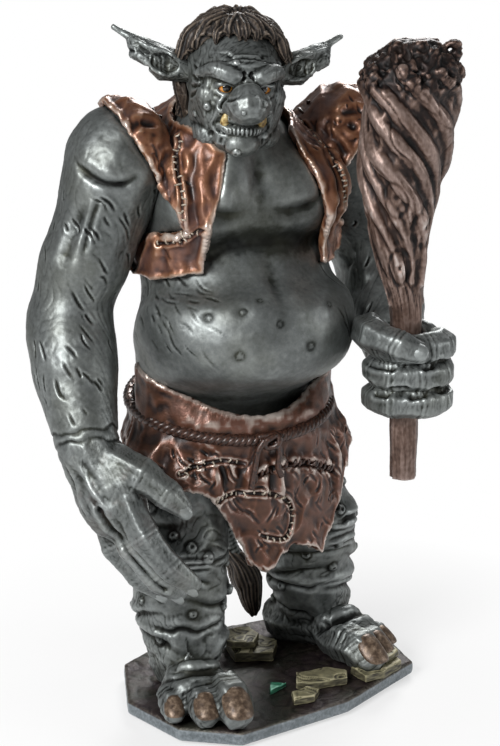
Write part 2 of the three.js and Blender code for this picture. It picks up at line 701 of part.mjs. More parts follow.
// A prism seen from the front, through the whole depth of the figure
const frontPrism = (corners, low, high) => {
  const shape = new THREE.Shape(corners.map(([x, z]) => new THREE.Vector2(x, z)));
  const made = new THREE.ExtrudeGeometry(shape, { depth: high - low, bevelEnabled: false });
  made.applyMatrix4(new THREE.Matrix4().makeBasis(at(1, 0, 0), at(0, 0, 1), at(0, -1, 0)));
  return moved(solid(made), at(0, high, 0));
};
const hemHeight = shoulderHeight - waistcoatLength;
function waistcoatSolid(grow = 0) {
  const far = wearGap + hideThickness + grow;
  const shoulderCaps = [
    rightArm(far).subtract(armholeFor(shoulders.right, 150)),
    leftArm(far).subtract(armholeFor(shoulders.left, 150)),
  ];
  const outer = trunkSolid(far).add(shoulderCaps[0]).add(shoulderCaps[1]);
  const hem = Array.from({ length: 17 }, (_, i) => {
    const share = i / 16;
    const wave = 2.2 * Math.sin(share * 19) + 1.4 * Math.sin(share * 43);
    return [(share - 0.5) * 170, up(hemHeight) + wave];
  });
  const shape = frontPrism([...hem, [90, up(neckTopHeight + 20)], [-90, up(neckTopHeight + 20)]], -90, 90);
  const opening = frontPrism(
    [
      [-31, 0], [31, 0], [27, up(hemHeight + 22)],
      [15, up(neckTopHeight)], [-15, up(neckTopHeight)], [-27, up(hemHeight + 22)],
    ],
    -90,
    4,
  );
  const [nape, chin] = [at(0, 14, up(shoulderHeight - 10)), at(-headShift, -22, up(neckTopHeight + 30))];
  const neck = bar(nape, chin, neckOpening - grow, 24);
  return outer.intersect(shape).subtract(opening).subtract(neck);
}

// Apron: two hide flaps under a rope belt. Angles run from the front, towards the figure's left.
const lowerForm = blended(4, [
  trunkForm,
  ...Object.values(stances).map(legForm),
]);
const beltLine = (angle) => up(hipHeight + beltRise) - beltDip * Math.cos(angle);
const outward = (angle) => at(Math.sin(angle), -Math.cos(angle), 0);
const middle = (z) => at(0, 6, z);
// How far from the middle the figure reaches, found from outside
function girth(angle, z) {
  let far = 95;
  for (let step = 0; step < 60; step++) {
    const space = lowerForm(middle(z).addScaledVector(outward(angle), far));
    if (space < 0.02) break;
    far -= space * 0.9;
  }
  return Math.max(far, 12);
}
function apronSolid(from, to, dropAt, grow = 0) {
  const columns = 16;
  const rows = 5;
  const angles = Array.from({ length: columns + 1 }, (_, i) => radians(from + ((to - from) * i) / columns));
  const topOf = (angle) => beltLine(angle) + beltRadius;
  const heightAt = (angle, row) => topOf(angle) - (dropAt(angle) + 2 * beltRadius) * (row / rows);
  let radii = angles.map((angle) => girth(angle, topOf(angle)));
  const grid = [];
  for (let row = 0; row <= rows; row++) {
    const close = angles.map((angle, i) => Math.max(girth(angle, heightAt(angle, row)), radii[i] - 0.8));
    const beside = (i) => ((close[i - 1] ?? close[i]) + (close[i + 1] ?? close[i])) / 2;
    radii = close.map((radius, i) => Math.max(radius, beside(i)));
    grid.push(radii.map((radius, i) => {
      const fold = 1.6 * (row / rows) * (1 + Math.sin(angles[i] * 9 + 1));
      return { angle: angles[i], z: heightAt(angles[i], row), radius: radius + wearGap + 0.3 + fold };
    }));
  }
  const placed = ({ angle, z, radius }, far) => middle(z).addScaledVector(outward(angle), radius + far);
  const layer = (far) => grid.map((row) => row.map((point) => placed(point, far)));
  return solid(slabOf(layer(hideThickness + grow), layer(-grow)));
}
// A closed sheet between two grids of points
function slabOf(outer, inner) {
  const [rows, columns] = [outer.length, outer[0].length];
  const points = [...outer.flat(), ...inner.flat()];
  const front = (row, column) => row * columns + column;
  const back = (row, column) => rows * columns + front(row, column);
  const faces = [];
  const quad = (a, b, c, d) => faces.push(a, b, c, a, c, d);
  for (let row = 0; row < rows - 1; row++) {
    for (let column = 0; column < columns - 1; column++) {
      const corners = [[row, column], [row + 1, column], [row + 1, column + 1], [row, column + 1]];
      quad(...corners.map((corner) => front(...corner)));
      quad(...corners.reverse().map((corner) => back(...corner)));
    }
    const [left, right] = [0, columns - 1];
    quad(front(row, left), back(row, left), back(row + 1, left), front(row + 1, left));
    quad(front(row, right), front(row + 1, right), back(row + 1, right), back(row, right));
  }
  for (let column = 0; column < columns - 1; column++) {
    const [top, hem] = [0, rows - 1];
    quad(front(top, column), front(top, column + 1), back(top, column + 1), back(top, column));
    quad(front(hem, column), back(hem, column), back(hem, column + 1), front(hem, column + 1));
  }
  return new THREE.BufferGeometry().setFromPoints(points).setIndex(faces);
}
const smooth = (x, low, high) => THREE.MathUtils.smoothstep(x, low, high);
const frontDrop = (angle) =>
  THREE.MathUtils.lerp(sideDrop, apronLength, smooth(Math.cos(angle - 0.3), 0.5, 0.95)) +
  4 * Math.sin(7 * angle + 2) + 2 * Math.sin(17 * angle);
const backDrop = (angle) =>
  THREE.MathUtils.lerp(sideDrop, apronLength * 0.7, smooth(-Math.cos(angle), 0.35, 0.9)) +
  3 * Math.sin(6 * angle + 1) + 2 * Math.sin(19 * angle);

// The rope belt is a closed ring round the flaps
function beltSolid(grow = 0) {
  const turns = 24;
  const reach = (angle) =>
    Math.max(...[-beltRadius, beltRadius].map((rise) => girth(angle, beltLine(angle) + rise)));
  const raw = Array.from({ length: turns }, (_, i) => reach((i / turns) * 2 * Math.PI));
  const points = raw.map((radius, i) => {
    const near = Math.max(radius, (raw[(i + 1) % turns] + raw[(i + turns - 1) % turns]) / 2);
    const angle = (i / turns) * 2 * Math.PI;
    const far = near + wearGap + hideThickness + beltRadius;
    return middle(beltLine(angle)).addScaledVector(outward(angle), far);
  });
  const rings = points.map((point, i) => {
    const along = points[(i + 1) % turns].clone().sub(points[(i + turns - 1) % turns]).normalize();
    const side = at(0, 0, 1).cross(along).normalize();
    const rise = along.clone().cross(side);
    return Array.from({ length: 6 }, (_, j) => {
      const angle = (j / 6) * 2 * Math.PI;
      const offset = side.clone().multiplyScalar(Math.cos(angle)).addScaledVector(rise, Math.sin(angle));
      return point.clone().addScaledVector(offset, beltRadius + grow);
    });
  });
  const faces = [];
  for (let i = 0; i < turns; i++) {
    for (let j = 0; j < 6; j++) {
      const [a, b] = [i * 6 + j, i * 6 + ((j + 1) % 6)];
      const next = ((i + 1) % turns) * 6;
      faces.push(a, b, next + ((j + 1) % 6), a, next + ((j + 1) % 6), next + j);
    }
  }
  return solid(new THREE.BufferGeometry().setFromPoints(rings.flat()).setIndex(faces));
}

// Tail, with a tuft of hair over its tip
const tailDrops = [[2, 32, 10], [4, 49, 26], [10, 55, 56], [19, 57, 82], [26, 55, 100]];
const tailLine = tailDrops.map(([x, y, drop]) => at(x, y, up(pelvisHeight - drop)));
const tailRadii = [1.15, 0.9, 0.68, 0.52, 0.42].map((share) => share * tailRadius);
const tailSolid = (grow = 0) =>
  loft(chain(tailLine, tailRadii, 4), tailLine, { sides: 8, rings: 8, dome: 1, grow });
function tuftSolid() {
  const line = [at(-3, 2, 4), at(3, -2, -9), at(5, -4, -22)].map((step) => step.add(tailLine.at(-1)));
  const form = chain(line, [4.6, 7, 1.6], 4);
  const locks = (p) => form(p) + 0.7 * Math.cos(6 * Math.atan2(p.y - line[1].y, p.x - line[1].x));
  return loft(locks, line, { sides: 12, rings: 5, dome: 1 });
}

// Flat stones on the slab, placed by shares of its width and depth.
// A level is the height of what the stone lies on, above the slab.
const broken = {
  broad: [[-0.5, -0.3], [-0.15, -0.5], [0.4, -0.42], [0.5, 0.1], [0.2, 0.5], [-0.38, 0.4]],
  wedge: [[-0.5, -0.1], [0.05, -0.5], [0.5, -0.2], [0.42, 0.35], [-0.1, 0.5]],
  shard: [[-0.5, -0.4], [0.5, -0.12], [0.1, 0.5]],
};
const stones = {
  flagstone_edge: { shape: "broad", place: [0.32, -0.21], size: [28, 17, 4.6], turn: 24, level: 0 },
  flagstone_edge_upper: { shape: "wedge", place: [0.37, -0.17], size: [20, 14, 3.4], turn: 60, level: 4.6 },
  flagstone_front: { shape: "broad", place: [0.12, -0.21], size: [27, 16, 4.2], turn: -8, level: 0 },
  flagstone_front_small: { shape: "wedge", place: [0.01, -0.33], size: [17, 12, 3.6], turn: 24, level: 0 },
  flagstone_middle: { shape: "wedge", place: [0.01, 0.17], size: [26, 30, 5.4], turn: 20, level: 0 },
  flagstone_middle_upper: { shape: "broad", place: [-0.01, 0.2], size: [18, 20, 4], turn: -30, level: 5.4 },
  green_shard: { shape: "shard", place: [-0.04, -0.2], size: [13, 10, 2.8], turn: 15, level: 0 },
};
function stoneSolid({ shape, place: [x, y], size: [width, depth, thickness], turn, level }, cutters) {
  const bevel = 0.8;
  const body = new THREE.ExtrudeGeometry(outline(broken[shape], width - 2 * bevel, depth - 2 * bevel), {
    depth: thickness - 2 * bevel,
    bevelThickness: bevel,
    bevelSize: bevel,
    bevelSegments: 1,
  });
  body.rotateZ(radians(turn));
  const bottom = ground + level + footGap * (level ? 2 : 1);
  const whole = moved(solid(body), at(slabOffset + x * slabWidth, y * slabDepth, bottom + bevel));
  return cutters.reduce((made, other) => made.subtract(other), whole);
}

// Dowels: each is a joint, a direction through it and the frame that both are given in.
const world = new THREE.Group();
const neckSeat = at(-headShift * 0.9, -10, up(neckTopHeight + neckRadius));
const joints = {
  neck_dowel: { frame: world, joint: neckSeat, through: at(0, -0.3, 1) },
  right_shoulder_dowel: { frame: world, joint: shoulderSeat("right"), through: at(1, 0, 0) },
  left_shoulder_dowel: { frame: world, joint: shoulderSeat("left"), through: at(1, 0, 0) },
  right_hip_dowel: { frame: world, joint: hipSeat("right"), through: at(0, 0, 1) },
  left_hip_dowel: { frame: world, joint: hipSeat("left"), through: at(0, 0, 1) },
  tail_dowel: { frame: world, joint: at(1.5, 29, up(pelvisHeight - 7)), through: at(-0.1, -0.9, 0.5) },
  right_wrist_dowel: { frame: openHand, joint: at(0, 0, 0), through: at(0, 0, 1) },
  left_wrist_dowel: { frame: grip, joint: leftWrist, through: at(0, 1, 0) },
};
function shoulderSeat(name) {
  const shoulder = shoulders[name];
  return shoulder.clone().add(at((-Math.sign(shoulder.x) * deltoidWidth) / 2, 0, 0));
}
function hipSeat(name) {
  return hipOf(stances[name]).add(at(0, 0, thighRadius + 1));
}
function dowelSolid(name, grow = 0) {
  const { joint, through } = joints[name];
  const half = through.clone().setLength(dowelReach + grow);
  return bar(joint.clone().sub(half), joint.clone().add(half), dowelRadius + grow);
}
// The bore for a dowel, seen from a frame
const boreFor = (name, frame = world) =>
  toFrame(toWorld(dowelSolid(name, dowelGap), joints[name].frame), frame);

// Assembly
const group = new THREE.Group();
const figure = new THREE.Group();
figure.position.x = -slabOffset;
figure.add(world, grip, openHand, head);
group.add(figure);
const cut = (made, ...cutters) => cutters.reduce((rest, other) => rest.subtract(other), made);
const place = (name, made, material, frame = world) => frame.add(mesh(name, made, material));
const handed = { right: -1, left: 1 };

const legs = {};
for (const [name, stance] of Object.entries(stances)) legs[name] = legSolid(stance, castGap);
const screws = Object.values(stances).map((stance) => moved(screwSolid(screwGap), screwPlace(stance)));
const tail = tailSolid(castGap);
const trunkGrown = trunkSolid(castGap);

place("felt_pad", feltSolid(), materials.felt);
place("base_slab", cut(slabSolid(), ...screws), materials.slab);
for (const [name, stance] of Object.entries(stances)) {
  const drive = solid(new THREE.CylinderGeometry(1.6, 1.6, 3, 6).rotateX(Math.PI / 2));
  const screw = moved(cut(screwSolid(), drive), screwPlace(stance));
  place(`${name}_base_screw`, screw, materials.steel);
  place(`${name}_leg`, cut(legSolid(stance), ...screws, boreFor(`${name}_hip_dowel`)), materials.skin);
}
for (const [name, stone] of Object.entries(stones)) {
  place(name, stoneSolid(stone, Object.values(legs)), materials.stone);
}

const trunkBores = ["neck", "right_shoulder", "left_shoulder", "right_hip", "left_hip", "tail"];
const armsGrown = [rightArm(castGap), leftArm(castGap)];
const trunk = cut(
  trunkSolid(),
  ...armsGrown,
  ...Object.values(legs),
  tail,
  ...trunkBores.map((name) => boreFor(`${name}_dowel`)),
);
place("trunk", trunk, materials.skin);
place("tail", cut(tailSolid(), boreFor("tail_dowel")), materials.skin);
place("tail_tuft", cut(tuftSolid(), tail), materials.hair);

// The arms meet the hands on a flat at the wrist.
const clear = wristRadius * 1.4;
const openWrist = block(at(-palmWidth, -palmWidth, -castGap / 2), at(palmWidth, palmWidth, palmLength));
const openWristArm = block(at(-clear, -clear, -palmLength), at(clear, clear, castGap / 2));
const fistWrist = block(
  at(-palmWidth, leftWrist.y - castGap / 2, -palmWidth),
  at(palmWidth, palmLength * 2, palmWidth),
);
const fistWristArm = block(
  at(leftWrist.x - clear, 0, -clear),
  at(leftWrist.x + clear, leftWrist.y + castGap / 2, clear),
);
const boresFor = (name) => [boreFor(`${name}_wrist_dowel`), boreFor(`${name}_shoulder_dowel`)];
const rightHand = cut(openHandSolid(), openWrist, boreFor("right_wrist_dowel", openHand));
const leftHand = cut(fistSolid(), fistWrist, clubBore(), boreFor("left_wrist_dowel", grip));
place("right_arm", cut(rightArm(), toWorld(openWristArm, openHand), ...boresFor("right")), materials.skin);
place("left_arm", cut(leftArm(), toWorld(fistWristArm, grip), ...boresFor("left")), materials.skin);
place("right_hand", rightHand, materials.skin, openHand);
place("left_hand", leftHand, materials.skin, grip);
place("club", clubSolid(), materials.wood, grip);

// Head
const ears = Object.values(handed).map((side) => earSolid(side, castGap));
const headGrown = headSolid(castGap);
const neck = toFrame(trunkGrown, head);
const eyes = Object.values(handed).map((side) => eyeSolid(side, castGap));
const tusks = Object.values(handed).map((side) => tuskSolid(side, castGap));
const headCut = cut(headSolid(), neck, boreFor("neck_dowel", head), ...ears, ...eyes, ...tusks);
place("head", headCut, materials.skin, head);
for (const [name, side] of Object.entries(handed)) {
  place(`${name}_ear`, earSolid(side), materials.skin, head);
  place(`${name}_eye`, eyeSolid(side), materials.eye, head);
  place(`${name}_tusk`, tuskSolid(side), materials.ivory, head);
}
const collar = toFrame(waistcoatSolid(castGap), head);
place("hair", hairSolid([headGrown, neck, collar, ...ears]), materials.hair, head);

// Clothing
const armholes = Object.values(shoulders).map((shoulder) => armholeFor(shoulder, armholeDrop));
const vest = cut(waistcoatSolid(), trunkGrown, ...armsGrown, ...armholes, toWorld(headGrown, head));
const seam = shoulders.right.y;
const panel = (low, high) => vest.intersect(block(low, high));
const wide = up(neckTopHeight);
const [behind, before] = [seam + castGap / 2, seam - castGap / 2];
place("waistcoat_back", panel(at(-wide, behind, 0), at(wide, wide, 2 * wide)), materials.hide);
place("waistcoat_right", panel(at(-wide, -wide, 0), at(0, before, 2 * wide)), materials.hide);
place("waistcoat_left", panel(at(0, -wide, 0), at(wide, before, 2 * wide)), materials.hide);

const body = [trunkGrown, ...Object.values(legs), tailSolid(wearGap)];
const frontApron = (grow) => apronSolid(-88, 88, frontDrop, grow);
const backApron = (grow) => apronSolid(92, 268, backDrop, grow);
place("front_apron", cut(frontApron(), ...body), materials.hide);
place("back_apron", cut(backApron(), ...body), materials.hide);
place("rope_belt", cut(beltSolid(), frontApron(castGap), backApron(castGap), ...body), materials.hide);

for (const [name, { frame }] of Object.entries(joints)) {
  place(name, dowelSolid(name), materials.steel, frame);
}

export default group;
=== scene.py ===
import math
import random

import bmesh
import bpy
import numpy as np
from bpy.props import FloatProperty, FloatVectorProperty, PointerProperty
from mathutils import Euler, Matrix, Vector, noise
from mathutils.bvhtree import BVHTree
from mathutils.kdtree import KDTree


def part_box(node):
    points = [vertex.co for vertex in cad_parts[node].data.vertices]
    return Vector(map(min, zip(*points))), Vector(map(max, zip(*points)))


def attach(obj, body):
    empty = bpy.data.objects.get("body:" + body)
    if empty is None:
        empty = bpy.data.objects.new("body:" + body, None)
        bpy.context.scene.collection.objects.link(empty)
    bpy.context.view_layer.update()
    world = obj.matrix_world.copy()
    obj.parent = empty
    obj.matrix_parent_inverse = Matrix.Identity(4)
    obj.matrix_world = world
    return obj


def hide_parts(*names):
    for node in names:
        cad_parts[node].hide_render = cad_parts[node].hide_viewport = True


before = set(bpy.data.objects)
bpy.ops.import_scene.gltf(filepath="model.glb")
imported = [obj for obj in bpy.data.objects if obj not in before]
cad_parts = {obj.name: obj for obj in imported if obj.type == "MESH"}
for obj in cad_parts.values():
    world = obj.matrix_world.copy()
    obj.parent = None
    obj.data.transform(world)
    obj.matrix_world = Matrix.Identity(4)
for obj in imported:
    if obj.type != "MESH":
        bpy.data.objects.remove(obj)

bl_info = {
    "name": "Troll statuette",
    "version": (1, 0, 0),
    "blender": (4, 5, 0),
    "location": "View3D > Sidebar > Troll",
    "description": "Dresses the packed troll statuette: cast skin, hides, hair, gnarled club and stone base",
    "category": "Add Mesh",
}

MM = 0.001
SIDES = {"right": -1, "left": 1}


# Measures of the figure, in millimetres


def unit(direction):
    """A direction with a length of 1."""
    return np.asarray(direction, float) / np.linalg.norm(direction)


def pose(position, turn):
    """A place in millimetres, turned by degrees about X, Y and Z."""
    spin = [Matrix.Rotation(math.radians(angle), 4, axis) for angle, axis in zip(turn, "XYZ")]
    return Matrix.Translation(Vector(position)) @ spin[0] @ spin[1] @ spin[2]


def out_of(place, points):
    """Points given in a place's own frame, in the figure's frame."""
    matrix = np.array(place)
    return np.asarray(points, float) @ matrix[:3, :3].T + matrix[:3, 3]


def into(place, points):
    """Points given in the figure's frame, in a place's own frame."""
    return out_of(place.inverted(), points)


def heading(place, direction):
    """A direction given in a place's own frame, in the figure's frame."""
    return out_of(place, direction) - out_of(place, (0, 0, 0))


def mirrored(side, points):
    """Points given for the left side, on the side that is 1 for left and -1 for right."""
    return [(side * x, y, z) for x, y, z in points]


# The slab's top, the line the figure stands about, the line the belt and aprons go round, and the lines of sight
# from in front and from behind
GROUND = 8.0
FIGURE = np.array((-14.0, 0, 0))
MIDDLE = FIGURE[0]
HUB = FIGURE + (0, 6, 0)
AHEAD, BEHIND = (0, 1, 0), (0, -1, 0)
SHOULDERS = {"right": FIGURE + (-54, 5, 248), "left": FIGURE + (54, 5, 248)}
ELBOWS = {
    "right": SHOULDERS["right"] + 69 * unit((-22, 3, -65)),
    "left": SHOULDERS["left"] + 69 * unit((24, 13, -58)),
}
WRISTS = {
    "right": ELBOWS["right"] + 55 * unit((-2, -26, -46)),
    "left": ELBOWS["left"] + 55 * unit((-13, -42, -21)),
}
WRIST_IN_GRIP = (4.14, 28.98, 0)
GRIP = pose(WRISTS["left"] - out_of(pose((0, 0, 0), (0, 0, -14)), WRIST_IN_GRIP), (0, 0, -14))
OPEN_HAND = pose(WRISTS["right"], (-22, -14, 8))
HEAD = pose(FIGURE + (-8, -15, 283), (4, 3, -11))
HEAD_SCALE = np.array((41 / 50, 42 / 56, 39 / 52))
STANCES = {
    "right": {"foot": (-42, -8), "toe_out": 12, "knee_forward": 9},
    "left": {"foot": (36, 20), "toe_out": 24, "knee_forward": 7},
}
# The fist, in the grip's frame: its bore, the line of its fingers round the club, and from one finger to the next
BORE = 9.4
WRAP = 14.1
FINGER_PITCH = 12
# The club, in the grip's frame: its handle's end, where the handle meets the root wood, and its crown. Then how
# far its strands wind round it, in radians
HANDLE_END = -50
HANDLE_TOP = 22
CROWN = 140
WINDING = 3.5


def face(*points):
    """Points on the head, which is measured as 50 wide, 56 deep and 52 high with its face at -Y."""
    return out_of(HEAD, np.array(points, float) * HEAD_SCALE)


def ankle_of(name):
    """The middle of an ankle."""
    x, y = STANCES[name]["foot"]
    return np.array((x, y + 4, 28))


def knee_of(name):
    """The middle of a knee."""
    side, turn = SIDES[name], math.radians(STANCES[name]["toe_out"])
    hip = FIGURE + (side * 23.5, 6, 123)
    ankle = ankle_of(name)
    forward = STANCES[name]["knee_forward"]
    return ankle + 0.484 * (hip - ankle) + (side * (3 + forward * math.sin(turn)), -forward * math.cos(turn), 0)


def foot_frame(name):
    """A foot's own frame, on the slab, with its toes towards -Y."""
    return pose((*STANCES[name]["foot"], GROUND), (0, 0, SIDES[name] * STANCES[name]["toe_out"]))


def toes_of(name):
    """Each toe's root, tip and radius, in the foot's frame, from the big toe outwards."""
    toes = []
    for share in (0, 0.5, 1):
        radius = 9.6 * (1 - 0.32 * share)
        across = -SIDES[name] * 11.8 * (1 - 2 * share)
        root = np.array((0.9 * across, -23 + 5 * share * share, 0.95 * radius))
        toes.append((root, root + (0.16 * across, -19 * (1 - 0.3 * share), -0.12 * radius), radius))
    return toes


# The three hanging fingers' joints and both thumbs' lines, in the hand's own frame
FINGER_STEPS = ((1, 11.3, 0), (1, 13.3, -17.6), (6, 14.0, -33.9), (13, 13.65, -44))
HANGING_FINGERS = np.array([
    [(x, row * spread - 1, -28.5 + 2 * abs(row) + z) for x, spread, z in FINGER_STEPS] for row in (-1, 0, 1)
])
HANGING_THUMB = np.array(((0, 0, 0), (4, -10, -10), (9, -14, -20), (13, -14, -28))) + (4, -10.5, -11)
FIST_THUMB = np.array(((-6, 17, 8), (-14, 9, 15), (-16, -6, 17), (-8, -18, 15), (0, -20, 12)), float)


# Lines and noise


def drawn(points, count):
    """A smooth line through the given points, which may carry more columns, such as a radius."""
    points = np.asarray(points, float)
    ends = np.vstack([2 * points[0] - points[1], points, 2 * points[-1] - points[-2]])
    steps = np.linspace(0, len(points) - 1, count)
    i = np.minimum(steps.astype(int), len(points) - 2)
    t = (steps - i)[:, None]
    a, b, c, d = ends[i], ends[i + 1], ends[i + 2], ends[i + 3]
    return 0.5 * (2 * b + (c - a) * t + (2 * a - 5 * b + 4 * c - d) * t**2 + (3 * b - a - 3 * c + d) * t**3)


def apart(points, line):
    """How far each point is from a line, and how far along the line that is, from 0 to 1."""
    best = np.full(len(points), 1e9)
    share = np.zeros(len(points))
    for i, (a, b) in enumerate(zip(line[:-1], line[1:])):
        along = b - a
        t = np.clip((points - a) @ along / max(along @ along, 1e-9), 0, 1)
        far = np.linalg.norm(points - a - t[:, None] * along, axis=1)
        nearer = far < best
        best[nearer] = far[nearer]
        share[nearer] = (i + t[nearer]) / (len(line) - 1)
    return best, share


def grain(points, size, seed=0.0):
    """Smooth noise, about -1 to 1, whose lumps are as wide as size, one number or one for each axis."""
    cells = np.asarray(points) / np.asarray(size, float) + 31.7 * seed
    return np.array([noise.noise(cell) for cell in cells.tolist()])


def pleats(points, size, seed):
    """Ridges with soft hollows between them, about -1 to 1."""
    return 1 - 3.4 * np.abs(grain(points, size, seed))


def cracks(values, sharp):
    """1 along the thin lines where noise crosses nought, fading to 0 beside them."""
    return np.clip(1 - np.abs(values) / sharp, 0, 1) ** 1.4


def eased(values, low, high):
    """0 below low, 1 above high, and a smooth rise between them."""
    t = np.clip((np.asarray(values, float) - low) / (high - low), 0, 1)
    return t * t * (3 - 2 * t)


def bell(values, width, middle=0.0):
    """1 at the middle, fading to 0 on both sides."""
    return np.exp(-(((values - middle) / width) ** 2))


def basis(along):
    """Three square directions of which the last is along."""
    along = unit(along)
    side = unit(np.cross(along, (0, 0, 1) if abs(along[2]) < 0.9 else (0, 1, 0)))
    return np.array((side, np.cross(along, side), along))


def body_tree(*nodes):
    """The surface of some CAD pieces, to be searched."""
    body = bmesh.new()
    for node in nodes:
        body.from_mesh(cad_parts[node].data)
    tree = BVHTree.FromBMesh(body)
    body.free()
    return tree


def nearest_of(places, points):
    """For each point, which of the places is nearest, and how far it is."""
    tree = KDTree(len(places))
    for i, place in enumerate(places.tolist()):
        tree.insert(place, i)
    tree.balance()
    found = [tree.find(point)[1:] for point in points.tolist()]
    return np.array([i for i, _ in found]), np.array([far for _, far in found])


# Clay: a cast piece while it is modelled


class Clay:
    """A piece of the casting: its points in millimetres, and the tools that shape them."""

    def __init__(self, name, nodes, fine, lumps=(), rods=(), swell=0.2):
        rough = bmesh.new()
        for node in nodes:
            rough.from_mesh(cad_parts[node].data)
        bmesh.ops.remove_doubles(rough, verts=rough.verts, dist=1e-6)
        rough.normal_update()
        for vertex in rough.verts:
            vertex.co += vertex.normal * swell * MM
        for centre, sizes, turn in lumps:
            size = Matrix.Diagonal((*(np.array(sizes) / 2 * MM), 1))
            place = Matrix.Translation(Vector(centre) * MM) @ turn.to_4x4() @ size
            bmesh.ops.create_icosphere(rough, subdivisions=3, radius=1, matrix=place)
        if rods:
            lines = [drawn(np.column_stack([line, radii]), 8 * len(radii)) for line, radii in rods]
            rolls = tubes(lines, 1, tip=True)
            rough.from_mesh(rolls)
            bpy.data.meshes.remove(rolls)
        mesh = bpy.data.meshes.new(name)
        rough.to_mesh(mesh)
        rough.free()
        self.made = bpy.data.objects.new(name, mesh)
        bpy.context.scene.collection.objects.link(self.made)
        cast = self.made.modifiers.new("Cast", "REMESH")
        cast.mode = "VOXEL"
        cast.voxel_size = fine * MM
        depsgraph = bpy.context.evaluated_depsgraph_get()
        solid = bpy.data.meshes.new_from_object(self.made.evaluated_get(depsgraph))
        self.made.modifiers.clear()
        self.made.data = solid
        bpy.data.meshes.remove(mesh)
        label = bodies_of(solid)
        if label.any():
            # Crumbs left by the remesh go
            least = 0.06 * np.count_nonzero(label == 0)
            solid = only(solid, np.bincount(label)[label] >= least)
            self.made.data = solid
        self.mesh = solid
        self.fine = fine
        self.at = np.empty(3 * len(solid.vertices))
        solid.vertices.foreach_get("co", self.at)
        self.at = self.at.reshape(-1, 3) / MM
        edges = np.empty(2 * len(solid.edges), int)
        solid.edges.foreach_get("vertices", edges)
        self.edges = edges.reshape(-1, 2)
        self.worked = np.ones(len(self.at))
        # Wear, stains and painted shade, added to the relief when it is kept
        self.wear = np.zeros(len(self.at))
        self.shine = 0.35
        self.settle()

    def settle(self):
        """Takes the normals of the surface as it is now."""
        self.mesh.vertices.foreach_set("co", (self.at * MM).ravel())
        self.mesh.update()
        normals = np.empty(3 * len(self.at), np.float32)
        self.mesh.vertex_normals.foreach_get("vector", normals)
        self.normals = normals.reshape(-1, 3).astype(float)
        self.surface = None

    def mean(self, values, steps=1):
        """Each point's value averaged over its neighbours, and that again for more steps."""
        a, b = self.edges.T
        here, there = np.r_[a, b], np.r_[b, a]
        count = np.maximum(np.bincount(here, minlength=len(values)), 1)
        for _ in range(steps):
            columns = values.reshape(len(values), -1).T
            sums = [np.bincount(here, column[there], len(values)) / count for column in columns]
            values = np.column_stack(sums).reshape(values.shape)
        return values

    def smooth(self, steps, where=1.0):
        """Rubs the surface smooth, turn and turn about so that it doesn't shrink."""
        where = np.broadcast_to(where, len(self.at))[:, None]
        for step in range(steps):
            weight = 0.55 if step % 2 == 0 else -0.35
            self.at = self.at + weight * where * (self.mean(self.at) - self.at)
        self.settle()

    def round_off(self, steps, where=1.0):
        """Melts the flats of the CAD form into one round form, and gives back the girth that this takes."""
        where = np.broadcast_to(where, len(self.at)).astype(float)
        before = self.at
        for _ in range(steps):
            self.at = self.at + 0.6 * where[:, None] * (self.mean(self.at) - self.at)
        lost = self.mean(((before - self.at) * self.normals).sum(axis=1), steps)
        self.settle()
        self.at = self.at + self.normals * (where * np.maximum(lost, 0))[:, None]
        self.settle()

    def push(self, amount):
        """Moves the surface out by an amount, or in where that is negative."""
        self.at = self.at + self.normals * (amount * self.worked)[:, None]

    def near(self, line, reach):
        """The points in the box round a line, with the reach added on all sides."""
        low, high = np.min(line, axis=0) - reach, np.max(line, axis=0) + reach
        return np.flatnonzero(((self.at > low) & (self.at < high)).all(axis=1))

    def press(self, who, amount):
        """Pushes some of the points."""
        self.at[who] += self.normals[who] * (amount * self.worked[who])[:, None]

    def mound(self, centre, sizes, height, along=(0, 0, 1)):
        """Raises a soft mound, as wide, deep and high as sizes, or a hollow where the height is negative."""
        axes = basis(along)
        away = (self.at - centre) @ axes.T / (np.array(sizes) / 2)
        self.push(height * np.exp(-2 * (away**2).sum(axis=1)))

    def crease(self, line, width, depth, lip=0.3, fade=5.0):
        """Cuts a groove along a line, with raised lips, or raises a ridge where the depth is negative."""
        line = np.asarray(line, float)
        who = self.near(line, 4 * width)
        if not len(who):
            return
        far, share = apart(self.at[who], line)
        ends = np.clip(np.minimum(share, 1 - share) * fade, 0, 1) if fade else 1
        cut = -depth * bell(far, width)
        cut += lip * depth * bell(far, width, 2 * width)
        self.press(who, cut * ends)

    def hoop(self, centre, axis, radius, width, depth, wave=0.0):
        """A groove square to a limb's axis, all the way round it."""
        centre, axis = np.asarray(centre, float), unit(axis)
        away = self.at - centre
        height = away @ axis
        out = np.linalg.norm(away - height[:, None] * axis, axis=1)
        who = np.flatnonzero((np.abs(height) < 3 * width + abs(wave)) & (out < radius))
        if len(who):
            height = height[who] + wave * grain(self.at[who], 7, depth)
            self.press(who, -depth * bell(height, width))

    def fold(self, line, width, depth, swell=0.8, over=1, fade=4.0):
        """A groove that the skin above it sags over, or the skin below it where over is -1."""
        line = np.asarray(line, float)
        who = self.near(line, 7 * width)
        if not len(who):
            return
        far, share = apart(self.at[who], line)
        level = np.interp(share, np.linspace(0, 1, len(line)), line[:, 2])
        sagging = eased(over * (self.at[who, 2] - level) / width, -0.2, 1)
        cut = -depth * bell(far, width)
        cut += swell * depth * sagging * bell(far, 1.7 * width, 2.5 * width)
        self.press(who, cut * np.clip(np.minimum(share, 1 - share) * fade, 0, 1))

    def wart(self, centre, radius, height, pit):
        """A round bump with a pit in its middle."""
        who = self.near([centre], 1.5 * radius)
        far = np.linalg.norm(self.at[who] - centre, axis=1) / radius
        self.press(who, height * np.clip(1.1 - far**2, 0, 1) ** 0.8 - pit * bell(far, 0.36))

    def stain(self, centre, radius, amount):
        """Darkens the wash round a point."""
        self.wear -= amount * bell(np.linalg.norm(self.at - centre, axis=1), radius)

